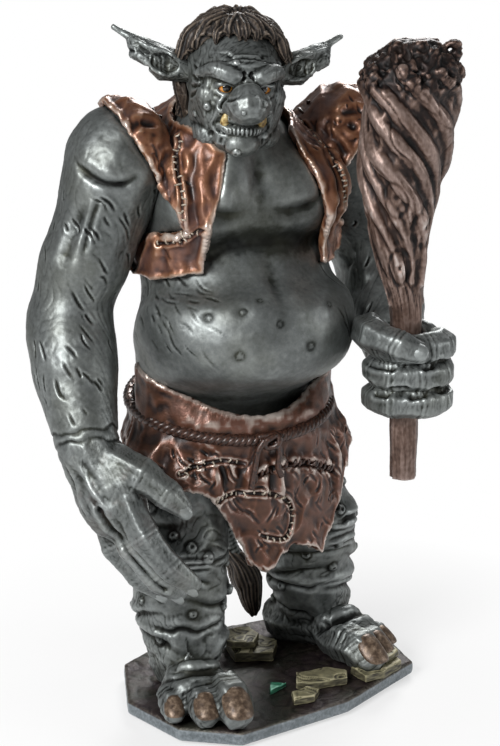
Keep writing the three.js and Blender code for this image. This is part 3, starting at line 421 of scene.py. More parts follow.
    def tucked(self, cover, gap=0.5, depth=6.0):
        """Sinks the surface to just under the pieces worn over it."""
        worn = body_tree(*cover)
        covered = np.vstack([[v.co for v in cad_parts[node].data.vertices] for node in cover]) / MM
        sunk = np.zeros(len(self.at))
        for i in self.near(covered, depth).tolist():
            start = self.at[i] - depth * self.normals[i]
            far = worn.ray_cast(Vector(start) * MM, Vector(self.normals[i]), (depth + gap) * MM)[3]
            if far is not None:
                sunk[i] = depth + gap - far / MM
        self.at = self.at - self.normals * np.maximum(sunk, self.mean(sunk, 4))[:, None]
        self.settle()

    def tree(self):
        """A search tree of the surface as it was last settled."""
        if self.surface is None:
            whole = bmesh.new()
            whole.from_mesh(self.mesh)
            self.surface = BVHTree.FromBMesh(whole)
            whole.free()
        return self.surface

    def snapped(self, points):
        """The surface points nearest to the given ones."""
        tree = self.tree()
        return np.array([tree.find_nearest(Vector(p) * MM)[0] / MM for p in np.atleast_2d(points)])

    def on(self, points, count):
        """A smooth line through points, laid on the surface."""
        return self.snapped(drawn(points, count))

    def seen(self, points, direction=AHEAD):
        """Where lines of sight through the points meet the surface."""
        tree = self.tree()
        found = []
        for p in np.atleast_2d(points):
            from_ = Vector(p - 250 * np.asarray(direction)) * MM
            hit = tree.ray_cast(from_, Vector(direction))[0]
            if hit is not None:
                found.append(hit / MM)
        return np.array(found)

    def traced(self, points, count, direction=AHEAD):
        """A smooth line through points of x and z, where it is seen on the surface."""
        return self.seen(drawn([(x, 0, z) for x, z in points], count), direction)

    def shade(self):
        """Keeps how far each point stands above or below the surface round it, for the wash and the worn edges,
        together with the wear, stains and painted shade laid on the points.
        """
        self.settle()
        level = self.at
        total = 0.5 + self.wear
        # Fine relief over 3 steps, then broad relief over 12 mm's worth of steps, each with the height that
        # counts as full
        for steps, height in ((3, 0.5 * self.fine), (int(12 / self.fine) - 3, 1.5)):
            level = self.mean(level, steps)
            rise = np.clip(((self.at - level) * self.normals).sum(axis=1) / height, -1, 1)
            total += 0.4 * np.where(rise > 0, self.shine * rise, rise)
        kept = self.mesh.attributes.new("relief", "FLOAT", "POINT")
        kept.data.foreach_set("value", np.clip(total, 0, 1))

    def finish(self, material, slot, nodes, body="figure"):
        """Gives the worked piece its finish."""
        self.shade()
        finished(self.made, material, nodes, body)
        return self.made

    def parted(self, point, normal, reach=1e3):
        """Cuts the piece in two at a plane, near a point, and closes both: the part behind the plane, then the rest."""
        self.shade()
        whole = bmesh.new()
        whole.from_mesh(self.mesh)
        spot = Vector(point) * MM
        near = [v for v in whole.verts if (v.co - spot).length < reach * MM]
        inside = set(near)
        edges = [e for e in whole.edges if e.verts[0] in inside and e.verts[1] in inside]
        faces = [f for f in whole.faces if all(v in inside for v in f.verts)]
        cut = bmesh.ops.bisect_plane(
            whole, geom=near + edges + faces, dist=1e-7, plane_co=spot, plane_no=Vector(normal)
        )
        seam = [e for e in cut["geom_cut"] if isinstance(e, bmesh.types.BMEdge)]
        bmesh.ops.split_edges(whole, edges=seam)
        split = bpy.data.meshes.new(self.mesh.name)
        whole.to_mesh(split)
        label = bodies_of(split)
        made = []
        for keep in (-1, 1):
            stays = np.zeros(len(label), bool)
            for group in range(label.max() + 1):
                own = label == group
                rim = [v for v, mine in zip(whole.verts, own) if mine and v.is_boundary]
                # A body lies on the side of the cut where the points next to its rim are
                beside = [e.other_vert(v).co - spot for v in rim for e in v.link_edges if not e.is_boundary]
                mean = np.mean([tuple(away) for away in beside], axis=0) @ unit(normal) if beside else 1
                stays |= own & (np.sign(mean) == keep)
            part = bmesh.new()
            part.from_mesh(only(split, stays))
            rim = [e for e in part.edges if e.is_boundary]
            filled = bmesh.ops.holes_fill(part, edges=rim, sides=0)
            bmesh.ops.triangulate(part, faces=filled["faces"])
            for edge in rim:
                edge.smooth = False
            closed = bpy.data.meshes.new(self.mesh.name)
            part.to_mesh(closed)
            part.free()
            made.append(closed)
        whole.free()
        bpy.data.objects.remove(self.made)
        return made


def bodies_of(mesh):
    """Which separate body of a mesh each point belongs to, numbered from the largest."""
    edges = np.empty(2 * len(mesh.edges), int)
    mesh.edges.foreach_get("vertices", edges)
    a, b = edges.reshape(-1, 2).T
    label = np.arange(len(mesh.vertices))
    while (label[a] != label[b]).any():
        low = np.minimum(label[a], label[b])
        np.minimum.at(label, label[a], low)
        np.minimum.at(label, label[b], low)
        label = label[label]
    _, label, count = np.unique(label, return_inverse=True, return_counts=True)
    order = np.empty(len(count), int)
    order[np.argsort(-count)] = np.arange(len(count))
    return order[label]


def only(mesh, keep):
    """A copy of a mesh that keeps the points marked."""
    whole = bmesh.new()
    whole.from_mesh(mesh)
    gone = [vertex for vertex, stays in zip(whole.verts, keep) if not stays]
    bmesh.ops.delete(whole, geom=gone, context="VERTS")
    made = bpy.data.meshes.new(mesh.name)
    whole.to_mesh(made)
    whole.free()
    return made


def sorted_bodies(mesh, names, order):
    """The largest bodies of a mesh, one object for each name, in the order of a key of their middles."""
    label = bodies_of(mesh)
    at = np.array([vertex.co for vertex in mesh.vertices])
    groups = sorted(range(len(names)), key=lambda group: order(at[label == group].mean(axis=0)))
    return [linked(name, only(mesh, label == group)) for name, group in zip(names, groups)]


def linked(name, mesh):
    """An object of a mesh, put in the scene."""
    made = bpy.data.objects.new(name, mesh)
    bpy.context.scene.collection.objects.link(made)
    return made


def finished(made, material, nodes=(), body="figure"):
    """Gives a piece its finish and its body, and hides the CAD nodes that it replaces."""
    made.data.materials.clear()
    made.data.materials.append(material)
    made.data.shade_smooth()
    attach(made, body)
    if nodes:
        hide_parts(*nodes)


def from_bmesh(name, whole):
    """An object of a bmesh, with its faces turned outwards."""
    mesh = bpy.data.meshes.new(name)
    bmesh.ops.recalc_face_normals(whole, faces=whole.faces)
    whole.to_mesh(mesh)
    whole.free()
    return linked(name, mesh)


DOME = [(share, math.sqrt(1 - share * share)) for share in (0.5, 0.85, 0.98)]


def tubes(lines, radius, closed=False, tip=False):
    """A mesh of round strands along lines of points in millimetres, whose fourth column, if any, thins them."""
    curve = bpy.data.curves.new("strands", "CURVE")
    curve.dimensions = "3D"
    curve.bevel_depth = radius * MM
    curve.bevel_resolution = 3
    curve.use_fill_caps = True
    for line in lines:
        line = np.array([(*point[:3], point[3] if len(point) > 3 else 1) for point in line], float)
        if tip:
            # Domed ends, which reach a strand's own radius past its line
            caps = []
            for end, before in ((line[0], line[1]), (line[-1], line[-2])):
                out = unit(end[:3] - before[:3])
                caps.append([(*(end[:3] + out * far * end[3] * radius), end[3] * thin) for far, thin in DOME])
            line = np.vstack([caps[0][::-1], line, caps[1]])
        spline = curve.splines.new("POLY")
        spline.points.add(len(line) - 1)
        spline.use_cyclic_u = closed
        spline.points.foreach_set("co", np.column_stack([line[:, :3] * MM, np.ones(len(line))]).ravel())
        spline.points.foreach_set("radius", line[:, 3])
    drawn_out = linked("strands", curve)
    depsgraph = bpy.context.evaluated_depsgraph_get()
    mesh = bpy.data.meshes.new_from_object(drawn_out.evaluated_get(depsgraph))
    bpy.data.objects.remove(drawn_out)
    return mesh


def thongs(name, lines, radius, closed=False):
    """An object of round strands."""
    mesh = tubes(lines, radius, closed)
    whole = bmesh.new()
    whole.from_mesh(mesh)
    bpy.data.meshes.remove(mesh)
    bmesh.ops.remove_doubles(whole, verts=whole.verts, dist=1e-7)
    return from_bmesh(name, whole)


# Finishes


def linear(code):
    """An sRGB hex colour as linear numbers."""
    parts = [int(code[i : i + 2], 16) / 255 for i in (1, 3, 5)]
    return [c / 12.92 if c <= 0.04045 else ((c + 0.055) / 1.055) ** 2.4 for c in parts]


def empty_tree(owner):
    """Gives a material or world an empty node tree."""
    owner.use_nodes = True
    owner.node_tree.nodes.clear()
    return owner.node_tree


def add(tree, kind, links=None, **settings):
    """Adds a node, sets it, and fills its sockets with values, colours or other nodes' outputs."""
    made = tree.nodes.new(kind)
    for key, value in settings.items():
        setattr(made, key, value)
    for key, value in (links or {}).items():
        if isinstance(value, bpy.types.NodeSocket):
            tree.links.new(value, made.inputs[key])
        else:
            made.inputs[key].default_value = (*linear(value), 1) if isinstance(value, str) else value
    return made


def worked_out(tree, operation, *values, clamp=False):
    """A sum done on values or other nodes' outputs."""
    return add(tree, "ShaderNodeMath", dict(enumerate(values)), operation=operation, use_clamp=clamp).outputs[0]


def ranged(tree, value, low, high, from_low=0.0, from_high=1.0):
    """A value moved from one range to another, and held within it."""
    links = {"Value": value, "From Min": from_low, "From Max": from_high, "To Min": low, "To Max": high}
    return add(tree, "ShaderNodeMapRange", links).outputs[0]


class Finish:
    """A material while it is made. Its patterns are measured in millimetres on the piece."""

    def __init__(self, name, **constants):
        self.material = bpy.data.materials.new(name)
        self.tree = empty_tree(self.material)
        self.shader = add(self.tree, "ShaderNodeBsdfPrincipled", constants)
        add(self.tree, "ShaderNodeOutputMaterial", {"Surface": self.shader.outputs[0]})
        self.place = add(self.tree, "ShaderNodeTexCoord").outputs["Object"]

    def speckle(self, size, detail=4.0, roughness=0.55, distortion=0.0, flat=1):
        """Noise whose lumps are size millimetres wide, and flat times less high."""
        place = self.place
        if flat != 1:
            place = add(self.tree, "ShaderNodeMapping", {"Vector": place, "Scale": (1, 1, flat)}).outputs[0]
        inputs = {
            "Vector": place, "Scale": 1 / (size * MM), "Detail": detail, "Roughness": roughness,
            "Distortion": distortion,
        }
        return add(self.tree, "ShaderNodeTexNoise", inputs).outputs["Fac"]

    def kept(self, name):
        """A value kept on the piece's points."""
        return add(self.tree, "ShaderNodeAttribute", attribute_name=name).outputs["Fac"]

    def height(self):
        """How high over the shelf each point is, in metres."""
        return add(self.tree, "ShaderNodeSeparateXYZ", {0: self.place}).outputs[2]

    def plus(self, a, b, share):
        """a plus a share of b about its middle."""
        shifted = worked_out(self.tree, "SUBTRACT", b, 0.5)
        return worked_out(self.tree, "MULTIPLY_ADD", shifted, share, a, clamp=True)

    def ramp(self, value, *steps):
        """A colour for a value, from steps of a position and a colour."""
        made = add(self.tree, "ShaderNodeValToRGB", {"Fac": value})
        while len(made.color_ramp.elements) < len(steps):
            made.color_ramp.elements.new(1)
        for element, (position, colour) in zip(made.color_ramp.elements, steps):
            element.position = position
            element.color = (*(linear(colour) if isinstance(colour, str) else colour), 1)
        return made.outputs[0]

    def mixed(self, share, a, b):
        """Colour a with a share of colour b."""
        return add(self.tree, "ShaderNodeMix", {0: share, 6: a, 7: b}, data_type="RGBA").outputs[2]

    def done(self, base, bumps, shade=None, rough=(0, 1)):
        """Joins the colour, the roughness from shade 0 to 1, and bumps of a height, a depth in mm and a strength."""
        self.tree.links.new(base, self.shader.inputs["Base Color"])
        if shade:
            self.tree.links.new(ranged(self.tree, shade, *rough), self.shader.inputs["Roughness"])
        normal = None
        for height, depth, strength in bumps:
            links = {"Height": height, "Distance": depth * MM, "Strength": strength}
            if normal:
                links["Normal"] = normal
            normal = add(self.tree, "ShaderNodeBump", links).outputs[0]
        self.tree.links.new(normal, self.shader.inputs["Normal"])
        return self.material


def once(make):
    """Keeps one material for each function that makes one."""

    def kept():
        return bpy.data.materials.get(make.__name__) or make(make.__name__)

    return kept


def painted(part):
    """The middle colour that the add-on's settings give for a part."""
    return tuple(getattr(bpy.context.scene.troll_finish, part))


# Cold-cast resin filled with pewter powder, washed dark and rubbed back: dark hollows, silvery worn skin
@once
def pewter_skin(name):
    paint = Finish(name, Metallic=0.72)
    mottle = paint.speckle(2.2, 5, 0.65)
    shade = paint.plus(paint.plus(paint.kept("relief"), mottle, 0.22), paint.speckle(18, 3), 0.3)
    base = paint.ramp(
        shade, (0.1, "#0f100f"), (0.34, "#353836"), (0.52, painted("skin")), (0.7, "#989d9c"), (0.92, "#d2d6d6")
    )
    olive = paint.ramp(paint.speckle(24, 2), (0.45, "#000000"), (0.7, "#6c6c6c"))
    base = paint.mixed(olive, base, "#66664f")
    # Rust-brown wash rubbed into the thighs
    height = paint.height()
    thigh = ranged(paint.tree, height, 0.0, 1.0, 60 * MM, 105 * MM)
    ends = ranged(paint.tree, height, 1.0, 0.0, 128 * MM, 138 * MM)
    blots = paint.ramp(paint.speckle(9, 4), (0.5, "#000000"), (0.62, "#8f8f8f"))
    band = worked_out(paint.tree, "MULTIPLY", thigh, ends)
    base = paint.mixed(worked_out(paint.tree, "MULTIPLY", band, blots), base, "#3d2620")
    return paint.done(base, [(mottle, 0.14, 0.35), (paint.speckle(0.7, 2), 0.1, 0.5)], shade, (0.58, 0.33))


def rubbed_hide(name, sheen_tint, *steps):
    """Painted hide whose ridges are rubbed with metal powder, with patches of a painted sheen colour over parts of it.
    """
    paint = Finish(name, Metallic=0.5, **{"Coat Weight": 0.25, "Coat Roughness": 0.22})
    creases = paint.speckle(2.4, 4, 0.6, 0.4)
    shade = paint.plus(paint.plus(paint.kept("relief"), creases, 0.16), paint.speckle(13, 3), 0.4)
    spread = paint.ramp(paint.speckle(17, 3), (0.46, "#000000"), (0.66, "#9c9c9c"))
    # Patches of painted sheen, mixed into the colour
    base = paint.mixed(spread, paint.ramp(shade, *steps), sheen_tint)
    return paint.done(base, [(creases, 0.35, 0.7), (paint.speckle(0.8, 2), 0.08, 0.5)], shade, (0.56, 0.28))


# Resin painted as tanned hide, then rubbed with copper powder: dark folds, satin ridges, and patches of a lilac painted
# sheen
@once
def coppered_hide(name):
    return rubbed_hide(
        name, "#836b6a", (0.1, "#150a07"), (0.33, "#3d2216"), (0.52, painted("hide")), (0.7, "#8d6348"),
        (0.88, "#b59a88"), (1.0, "#cdbeb3"),
    )


# Resin painted as smoked hide, half as bright as the waistcoat's, then rubbed with metal powder
@once
def smoked_hide(name):
    middle = tuple(0.5 * part for part in painted("hide"))
    return rubbed_hide(
        name, "#5a4642", (0.1, "#0c0605"), (0.33, "#26140f"), (0.52, middle), (0.7, "#694435"),
        (0.88, "#a39187"), (1.0, "#c2b5ac"),
    )


# Resin painted as twisted thong, dark, with a coat of clear wax that leaves it a little glossy
@once
def waxed_thong(name):
    paint = Finish(name, Metallic=0.2, **{"Coat Weight": 0.3, "Coat Roughness": 0.2})
    twist = paint.speckle(1.1, 3)
    base = paint.ramp(twist, (0.35, "#1b0f0b"), (0.65, "#4c3024"))
    return paint.done(base, [(twist, 0.15, 0.5)], twist, (0.34, 0.5))


# Resin painted as dried sinew, then rubbed with silver powder: pale, in short fibres
@once
def pale_sinew(name):
    paint = Finish(name, Metallic=0.3)
    fibre = paint.speckle(0.9, 3)
    base = paint.ramp(fibre, (0.35, "#7d6f5e"), (0.65, "#c9c0b2"))
    return paint.done(base, [(fibre, 0.1, 0.5)], fibre, (0.36, 0.55))


# Resin painted as old twisted rootwood: dark furrows, dry-brushed grey-brown strands
@once
def weathered_wood(name):
    paint = Finish(name, Metallic=0.5)
    fibres = paint.speckle(1.6, 4, 0.6, flat=0.3)
    shade = paint.plus(paint.plus(paint.kept("relief"), fibres, 0.3), paint.speckle(14, 3), 0.2)
    base = paint.ramp(
        shade, (0.12, "#080505"), (0.36, "#261a17"), (0.52, painted("wood")), (0.68, "#8d7a72"), (0.88, "#cdc2bc")
    )
    rust = paint.ramp(paint.speckle(20, 2), (0.5, "#000000"), (0.72, "#5c5c5c"))
    return paint.done(paint.mixed(rust, base, "#6a452f"), [(fibres, 0.3, 0.5)], shade, (0.62, 0.3))


# Resin painted as greasy dark hair, its raised strands rubbed paler
@once
def greasy_hair(name):
    paint = Finish(name, Metallic=0.25)
    shade = paint.plus(paint.kept("relief"), paint.speckle(4, 4), 0.3)
    base = paint.ramp(
        shade, (0.1, "#0b0908"), (0.38, "#241d19"), (0.56, "#3f362f"), (0.72, "#6f6357"), (0.92, "#a3988c")
    )
    return paint.done(base, [(paint.speckle(0.8, 3), 0.2, 0.5)], shade, (0.6, 0.34))


def split_stone(name, *steps):
    """Slate painted in thin layers, paler on its tops and dark in its cracks."""
    paint = Finish(name, Metallic=0.15)
    mottle = paint.speckle(7, 5, 0.6, flat=2)
    shade = paint.plus(paint.kept("relief"), mottle, 0.45)
    bumps = [(mottle, 0.3, 0.4), (paint.speckle(0.8, 3), 0.1, 0.5)]
    return paint.done(paint.ramp(shade, *steps), bumps, shade, (0.7, 0.42))


# Resin painted as split riverside slate: olive brown, painted paler on its upward faces
@once
def olive_slate(name):
    return split_stone(
        name, (0.1, "#14120e"), (0.35, "#302d23"), (0.52, "#4e4a39"), (0.68, "#858063"), (0.85, "#bfb797")
    )


# Resin painted as a shard of green slate, dry-brushed pale on its edges
@once
def green_slate(name):
    return split_stone(name, (0.1, "#06110d"), (0.4, "#123d2d"), (0.6, "#2a7a5c"), (0.85, "#8cc4ac"))


# Cold-cast resin: the top painted as dark trodden earth with purple and green stains, the edge rubbed back to
# pewter
@once
def trodden_slab(name):
    paint = Finish(name, Metallic=0.4)
    grit = paint.speckle(1.5, 5, 0.7)
    shade = paint.plus(paint.kept("relief"), grit, 0.6)
    earth = paint.ramp(shade, (0.1, "#090808"), (0.4, "#1f1c19"), (0.6, "#38332d"), (0.9, "#8a857a"))
    stains = paint.ramp(paint.speckle(14, 3), (0.4, "#2c3a2e"), (0.5, "#3b322b"), (0.62, "#47323f"))
    metal = paint.ramp(shade, (0.15, "#2d3134"), (0.5, "#6b7377"), (0.85, "#aeb5bb"))
    edge = ranged(paint.tree, paint.height(), 0.0, 1.0, 6.3 * MM, 6.9 * MM)
    base = paint.mixed(edge, metal, paint.mixed(0.22, earth, stains))
    return paint.done(base, [(grit, 0.5, 0.6), (paint.speckle(0.7, 2), 0.15, 0.6)], edge, (0.4, 0.48))


# Resin painted as thick horn, bronze brown over pewter, and varnished glossy
@once
def horn(name):
    paint = Finish(name, Metallic=0.35)
    mottle = paint.speckle(2.5, 5, 0.65)
    base = paint.ramp(mottle, (0.25, "#2c211a"), (0.48, "#5d4c3e"), (0.62, "#84715f"), (0.8, "#b3a493"))
    return paint.done(base, [(mottle, 0.4, 0.5)], mottle, (0.24, 0.5))


# Resin painted as old ivory: yellow, stained brown in its grooves
@once
def stained_ivory(name):
    paint = Finish(name)
    mottle = paint.speckle(2, 4)
    base = paint.ramp(mottle, (0.3, "#5a4426"), (0.5, "#a68c54"), (0.7, "#d6c594"))
    return paint.done(base, [(mottle, 0.2, 0.4)], mottle, (0.5, 0.28))


# Resin painted as an eye under clear varnish: black pupil, amber iris, bloodshot yellow white
@once
def varnished_eye(name):
    paint = Finish(name, Roughness=0.12, **{"Coat Weight": 1.0, "Coat Roughness": 0.03})
    veins = paint.speckle(0.9, 4, 0.7, 2)
    base = paint.ramp(
        paint.plus(paint.kept("gaze"), veins, 0.08), (0.0, "#050403"), (0.2, "#0a0604"), (0.23, "#d08a22"),
        (0.36, "#8a4a12"), (0.44, "#2a1408"), (0.48, "#a98f5c"), (0.75, "#8a5f42"),
    )
    return paint.done(base, [(veins, 0.05, 0.2)])


# Pressed wool felt: matt, with short fibres
@once
def pressed_felt(name):
    paint = Finish(name, Roughness=0.95, **{"Sheen Weight": 0.5, "Sheen Roughness": 0.6})
    fibres = paint.speckle(0.9, 5, 0.8, 2)
    return paint.done(paint.ramp(fibres, (0.3, "#13261c"), (0.7, "#2d5140")), [(fibres, 0.3, 0.8)])


# Turned steel, zinc plated: fine turning marks and a soft mirror
@once
def zinc_steel(name):
    paint = Finish(name, Metallic=1.0)
    marks = paint.speckle(1.2, 3)
    base = paint.ramp(marks, (0.3, "#8f9398"), (0.7, "#c3c6c8"))
    return paint.done(base, [(marks, 0.04, 0.3)], marks, (0.22, 0.42))


# Skin


def furrowed(clay, along, length, width, depth, sharp, seed, where=1.0):
    """Wrinkles that run one way: noise drawn out along a direction, pressed in where it crosses nought."""
    across = clay.at @ basis(along).T
    bend = grain(clay.at, 17, seed + 3)
    cells = across / (width, width * 2.2, length) + 0.45 * bend[:, None]
    clay.push(-depth * where * cracks(grain(cells, 1, seed), sharp))


def uneven(clay, heights, seed=1.0):
    """Gives the surface soft lumps of several sizes, each with its height."""
    for size, height in heights:
        clay.push(height * grain(clay.at, size, seed + size))


def gashes(clay, chance, count, along, where, length, depth):
    """Short deep wrinkles with bright lips, placed at random on the points that where allows."""
    allowed = np.flatnonzero(where)
    for _ in range(count):
        middle = clay.at[chance.choice(allowed)]
        lean = np.array([chance.gauss(0, 0.12) for _ in range(3)])
        half = unit(np.asarray(along) + lean) * chance.uniform(*length) / 2
        line = clay.on([middle - half, middle + lean * 6, middle + half], 7)
        clay.crease(line, chance.uniform(0.45, 0.7), depth * chance.uniform(0.5, 1.2), 0.25, 3)


def strewn_warts(clay, chance, count, where):
    """Warts at random on the points that where allows, none close to another."""
    allowed = np.flatnonzero(where)
    placed = []
    for _ in range(40 * count):
        spot = clay.at[chance.choice(allowed)]
        if len(placed) < count and all(np.linalg.norm(spot - other) > 8 for other in placed):
            placed.append(spot)
    for spot in placed:
        radius = chance.uniform(1.8, 2.7)
        clay.wart(spot, radius, 0.9 * radius, 0.4 * radius)
        clay.stain(spot, 1.5 * radius, 0.16)


MOLES = (
    (-32.6, 192.4, 2.0), (-35.7, 174.2, 2.5), (-18.4, 186.9, 1.8), (-4.5, 176, 2.3), (-45.7, 190, 2.3),
    (8.3, 191.4, 1.5), (-24, 196, 1.3),
)


def skin_trunk(depth):
    """The trunk: pelvis, belly, chest and neck in one casting."""
    chance = random.Random(11)
    clay = Clay("trunk_casting", ["trunk"], 0.88)
    clay.round_off(150)
    # The belly rides high and hangs in one round sack over the belt
    _, y, z = (clay.at - FIGURE).T
    front = 1 - eased(y, -14, 18)
    clay.at[:, 2] += 10 * front * bell(z, 24, 172)
    clay.settle()
    z = clay.at[:, 2]
    clay.at[:, 1] += 16 * front * eased(z, 112, 130) * (1 - eased(z, 146, 164))
    clay.settle()
    clay.mound((MIDDLE, -44, 176), (92, 60, 52), 1.6)
    clay.settle()
    clay.round_off(36, eased(clay.at[:, 2], 146, 156) * (1 - eased(clay.at[:, 2], 205, 215)))
    for x in (-36, 8):
        clay.mound((x, -30, 244), (44, 30, 34), 2.8)
    clay.settle()
    # The chest: two slack breasts either side of a groove, and the crease where they rest on the belly
    for breast in (((-50, 238), (-41, 232), (-32, 229.5), (-20, 232)), ((-14, 232), (-4, 229.5), (5, 231), (15, 236))):
        clay.fold(clay.traced(breast, 24), 3.4, 2.2, 0.6, fade=3)
    clay.crease(clay.traced(((-17, 266), (-17.5, 252), (-17, 240), (-18, 224)), 24), 4.2, 1.9, 0.15, 2)
    clay.settle()
    rest = ((-60, 206), (-44, 210), (-36, 213), (-27, 216), (-8, 216.5), (6, 214.5), (17, 214), (32, 208))
    clay.crease(clay.traced(rest, 24), 5.5, 3.6, 0.1)
    rest = ((-52, 207), (-44, 209.5), (-36, 212), (-27, 215), (-8, 215.5), (6, 213.5), (17, 213))
    clay.fold(clay.traced(rest, 24), 2.0, 1.2, 0.3, -1)
    clay.settle()
    clay.crease(clay.traced(((-16, 214), (-14, 206), (-15, 198), (-18, 184)), 24), 3.8, 1.3, 0.15, 2)
    for x, z, radius in MOLES:
        mole = clay.seen((x, 0, z))[0]
        clay.mound(mole, (4 * radius, 4 * radius, 4 * radius), -0.4 * radius)
        clay.wart(mole, 0.7 * radius, 0.3 * radius, 0)
        clay.stain(mole, radius, 0.07)
    clay.settle()
    # Slack skin at the flanks, and the groove and rolls of the back
    x, y, z = clay.at.T
    flank = (np.abs(x - MIDDLE) > 28) & (z > 172) & (z < 205) & (y < 5)
    gashes(clay, chance, 34, (0.5, -0.3, -0.6), flank, (6, 14), 0.4)
    gashes(clay, chance, 26, (0.6, -0.3, -0.45), flank & (clay.at[:, 0] < -40), (7, 15), 0.28)
    # Painted shade in the hollow between chest and belly: the band is painted darker on the front
    clay.wear -= 0.13 * (1 - eased(clay.at[:, 1], -16, 4)) * bell(clay.at[:, 2], 10, 220)
    clay.crease(clay.traced(((MIDDLE, 206), (MIDDLE + 1, 180), (MIDDLE, 156)), 16, BEHIND), 3.0, 1.8, 0.2)
    for low, reach in ((190, 36), (170, 40)):
        for side in (-1, 1):
            roll = [(side * x + MIDDLE, low + 0.004 * x * x) for x in (6, 16, 26, reach)]
            clay.fold(clay.traced(roll, 16, BEHIND), 3.0, 1.1)
    clay.settle()
    front = 1 - eased(clay.at[:, 1], -12, 4)
    slack = eased(grain(clay.at, 24, 6), -0.1, 0.35) * (1 - 0.9 * front)
    furrowed(clay, (0.9, 0, 0.3), 15, 2.0, 0.22 * depth, 0.3, 2, slack)
    uneven(clay, ((13, 0.45), (5, 0.14), (1.8, 0.05)))
    clay.settle()
    clay.tucked(["waistcoat_back", "waistcoat_right", "waistcoat_left"])
    clay.finish(pewter_skin(), "skin", ["trunk"])


def skin_leg(name, depth):
    """A leg from hip to foot, with its toes."""
    chance = random.Random(21 if name == "right" else 22)
    side = SIDES[name]
    place = foot_frame(name)
    clay = Clay(f"{name}_leg_casting", [f"{name}_leg"], 0.62)
    above = eased(clay.at[:, 2], 27, 38)
    clay.round_off(150, above)
    clay.round_off(12, 1 - above)
    clay.smooth(4, 1 - above)
    knee = knee_of(name)
    ankle = ankle_of(name)
    forward = heading(place, (0, -1, 0))
    clay.mound(knee + 17 * forward + (0, 0, 4), (26, 26, 24), 2.4)
    clay.mound(knee - 12 * forward + (0, 0, -20), (30, 30, 34), 1.6)
    clay.settle()
    # Loose skin sags in folds, closest together over the ankle
    facing = math.atan2(forward[1], forward[0])
    for i in range(13):
        share = i / 12
        level = 25 + 74 * share**1.3 + chance.uniform(-1.5, 1.5)
        middle = ankle + (knee - ankle) * (level - 28) / (knee[2] - 28)
        turn = facing + chance.uniform(-1.3, 1.3) + (math.pi if i % 3 == 2 else 0)
        span = chance.uniform(1.1, 1.9) * (1 if i > 4 else 1.35)
        arc = []
        for step in np.linspace(-1, 1, 9):
            a = turn + step * span
            sag = -1.5 + 5.5 * step * step + 1.2 * math.sin(5 * step + i)
            arc.append(middle + (27 * math.cos(a), 27 * math.sin(a), sag))
        width, cut = chance.uniform(1.2, 2.0), chance.uniform(1.2, 2.1) * (1 - 0.35 * share)
        clay.fold(clay.on(arc, 30), width, cut, 0.9, fade=3)
        if i % 3 == 0:
            clay.settle()
    clay.settle()
    # Creases over the kneecap, and rings round the toes
    across = np.cross(forward, (0, 0, 1))
    for drop in (7, -1, -8):
        arc = [
            knee + forward * 24 + across * 16 * step + (0, 0, drop - 3 * step * step)
            for step in (-1, -0.5, 0, 0.5, 1)
        ]
        clay.crease(clay.on(arc, 16), 1.1, 0.8, 0.5)
    for root, tip, radius in toes_of(name):
        root, tip = out_of(place, root), out_of(place, tip)
        for share in (0.14, 0.34, 0.54):
            clay.hoop(root + share * (tip - root), tip - root, radius * 1.3, 0.7, 0.35, 1.0)
    clay.settle()
    low = (clay.at[:, 2] > 26) & (clay.at[:, 2] < 100)
    strewn_warts(clay, chance, 30, low & (clay.normals[:, 2] < 0.7))
    clay.settle()
    slant = (0.75 * side, -0.3, 0.3)
    furrowed(clay, slant, 16, 2.2, 0.3 * depth, 0.3, side + 2, eased(grain(clay.at, 20, 4), -0.3, 0.25))
    foot = 1 - eased(clay.at[:, 2], 24, 34)
    furrowed(clay, (0.9, -0.2, 0), 10, 1.8, 0.16 * depth, 0.35, side + 9, foot)
    uneven(clay, ((9, 0.35), (4, 0.16), (1.6, 0.06)), side + 4)
    clay.at[:, 2] = np.maximum(clay.at[:, 2], GROUND + 0.05)
    clay.finish(pewter_skin(), "skin", [f"{name}_leg"])


def knuckled(clay, place, joints, radius, depth):
    """Wrinkles round each joint of a finger, and the swelling between them."""
    joints = out_of(place, joints)
    for before, joint, after in zip(joints[:-2], joints[1:-1], joints[2:]):
        axis = unit(after - before)
        for step in (-1.2, 1.2):
            clay.hoop(joint + step * axis, axis, radius, 0.6, 0.7 * depth, 1.2)
        clay.mound(joint, (2.2 * radius, 2.2 * radius, 9), 0.9, axis)


def hand_and_arm(clay, name, normal, reach):
    """Parts a hand from its arm at the wrist, and finishes both."""
    hand, arm = clay.parted(WRISTS[name], normal, reach)
    for part, mesh in (("arm", arm), ("hand", hand)):
        finished(linked(f"{name}_{part}_casting", mesh), pewter_skin(), [f"{name}_{part}"])


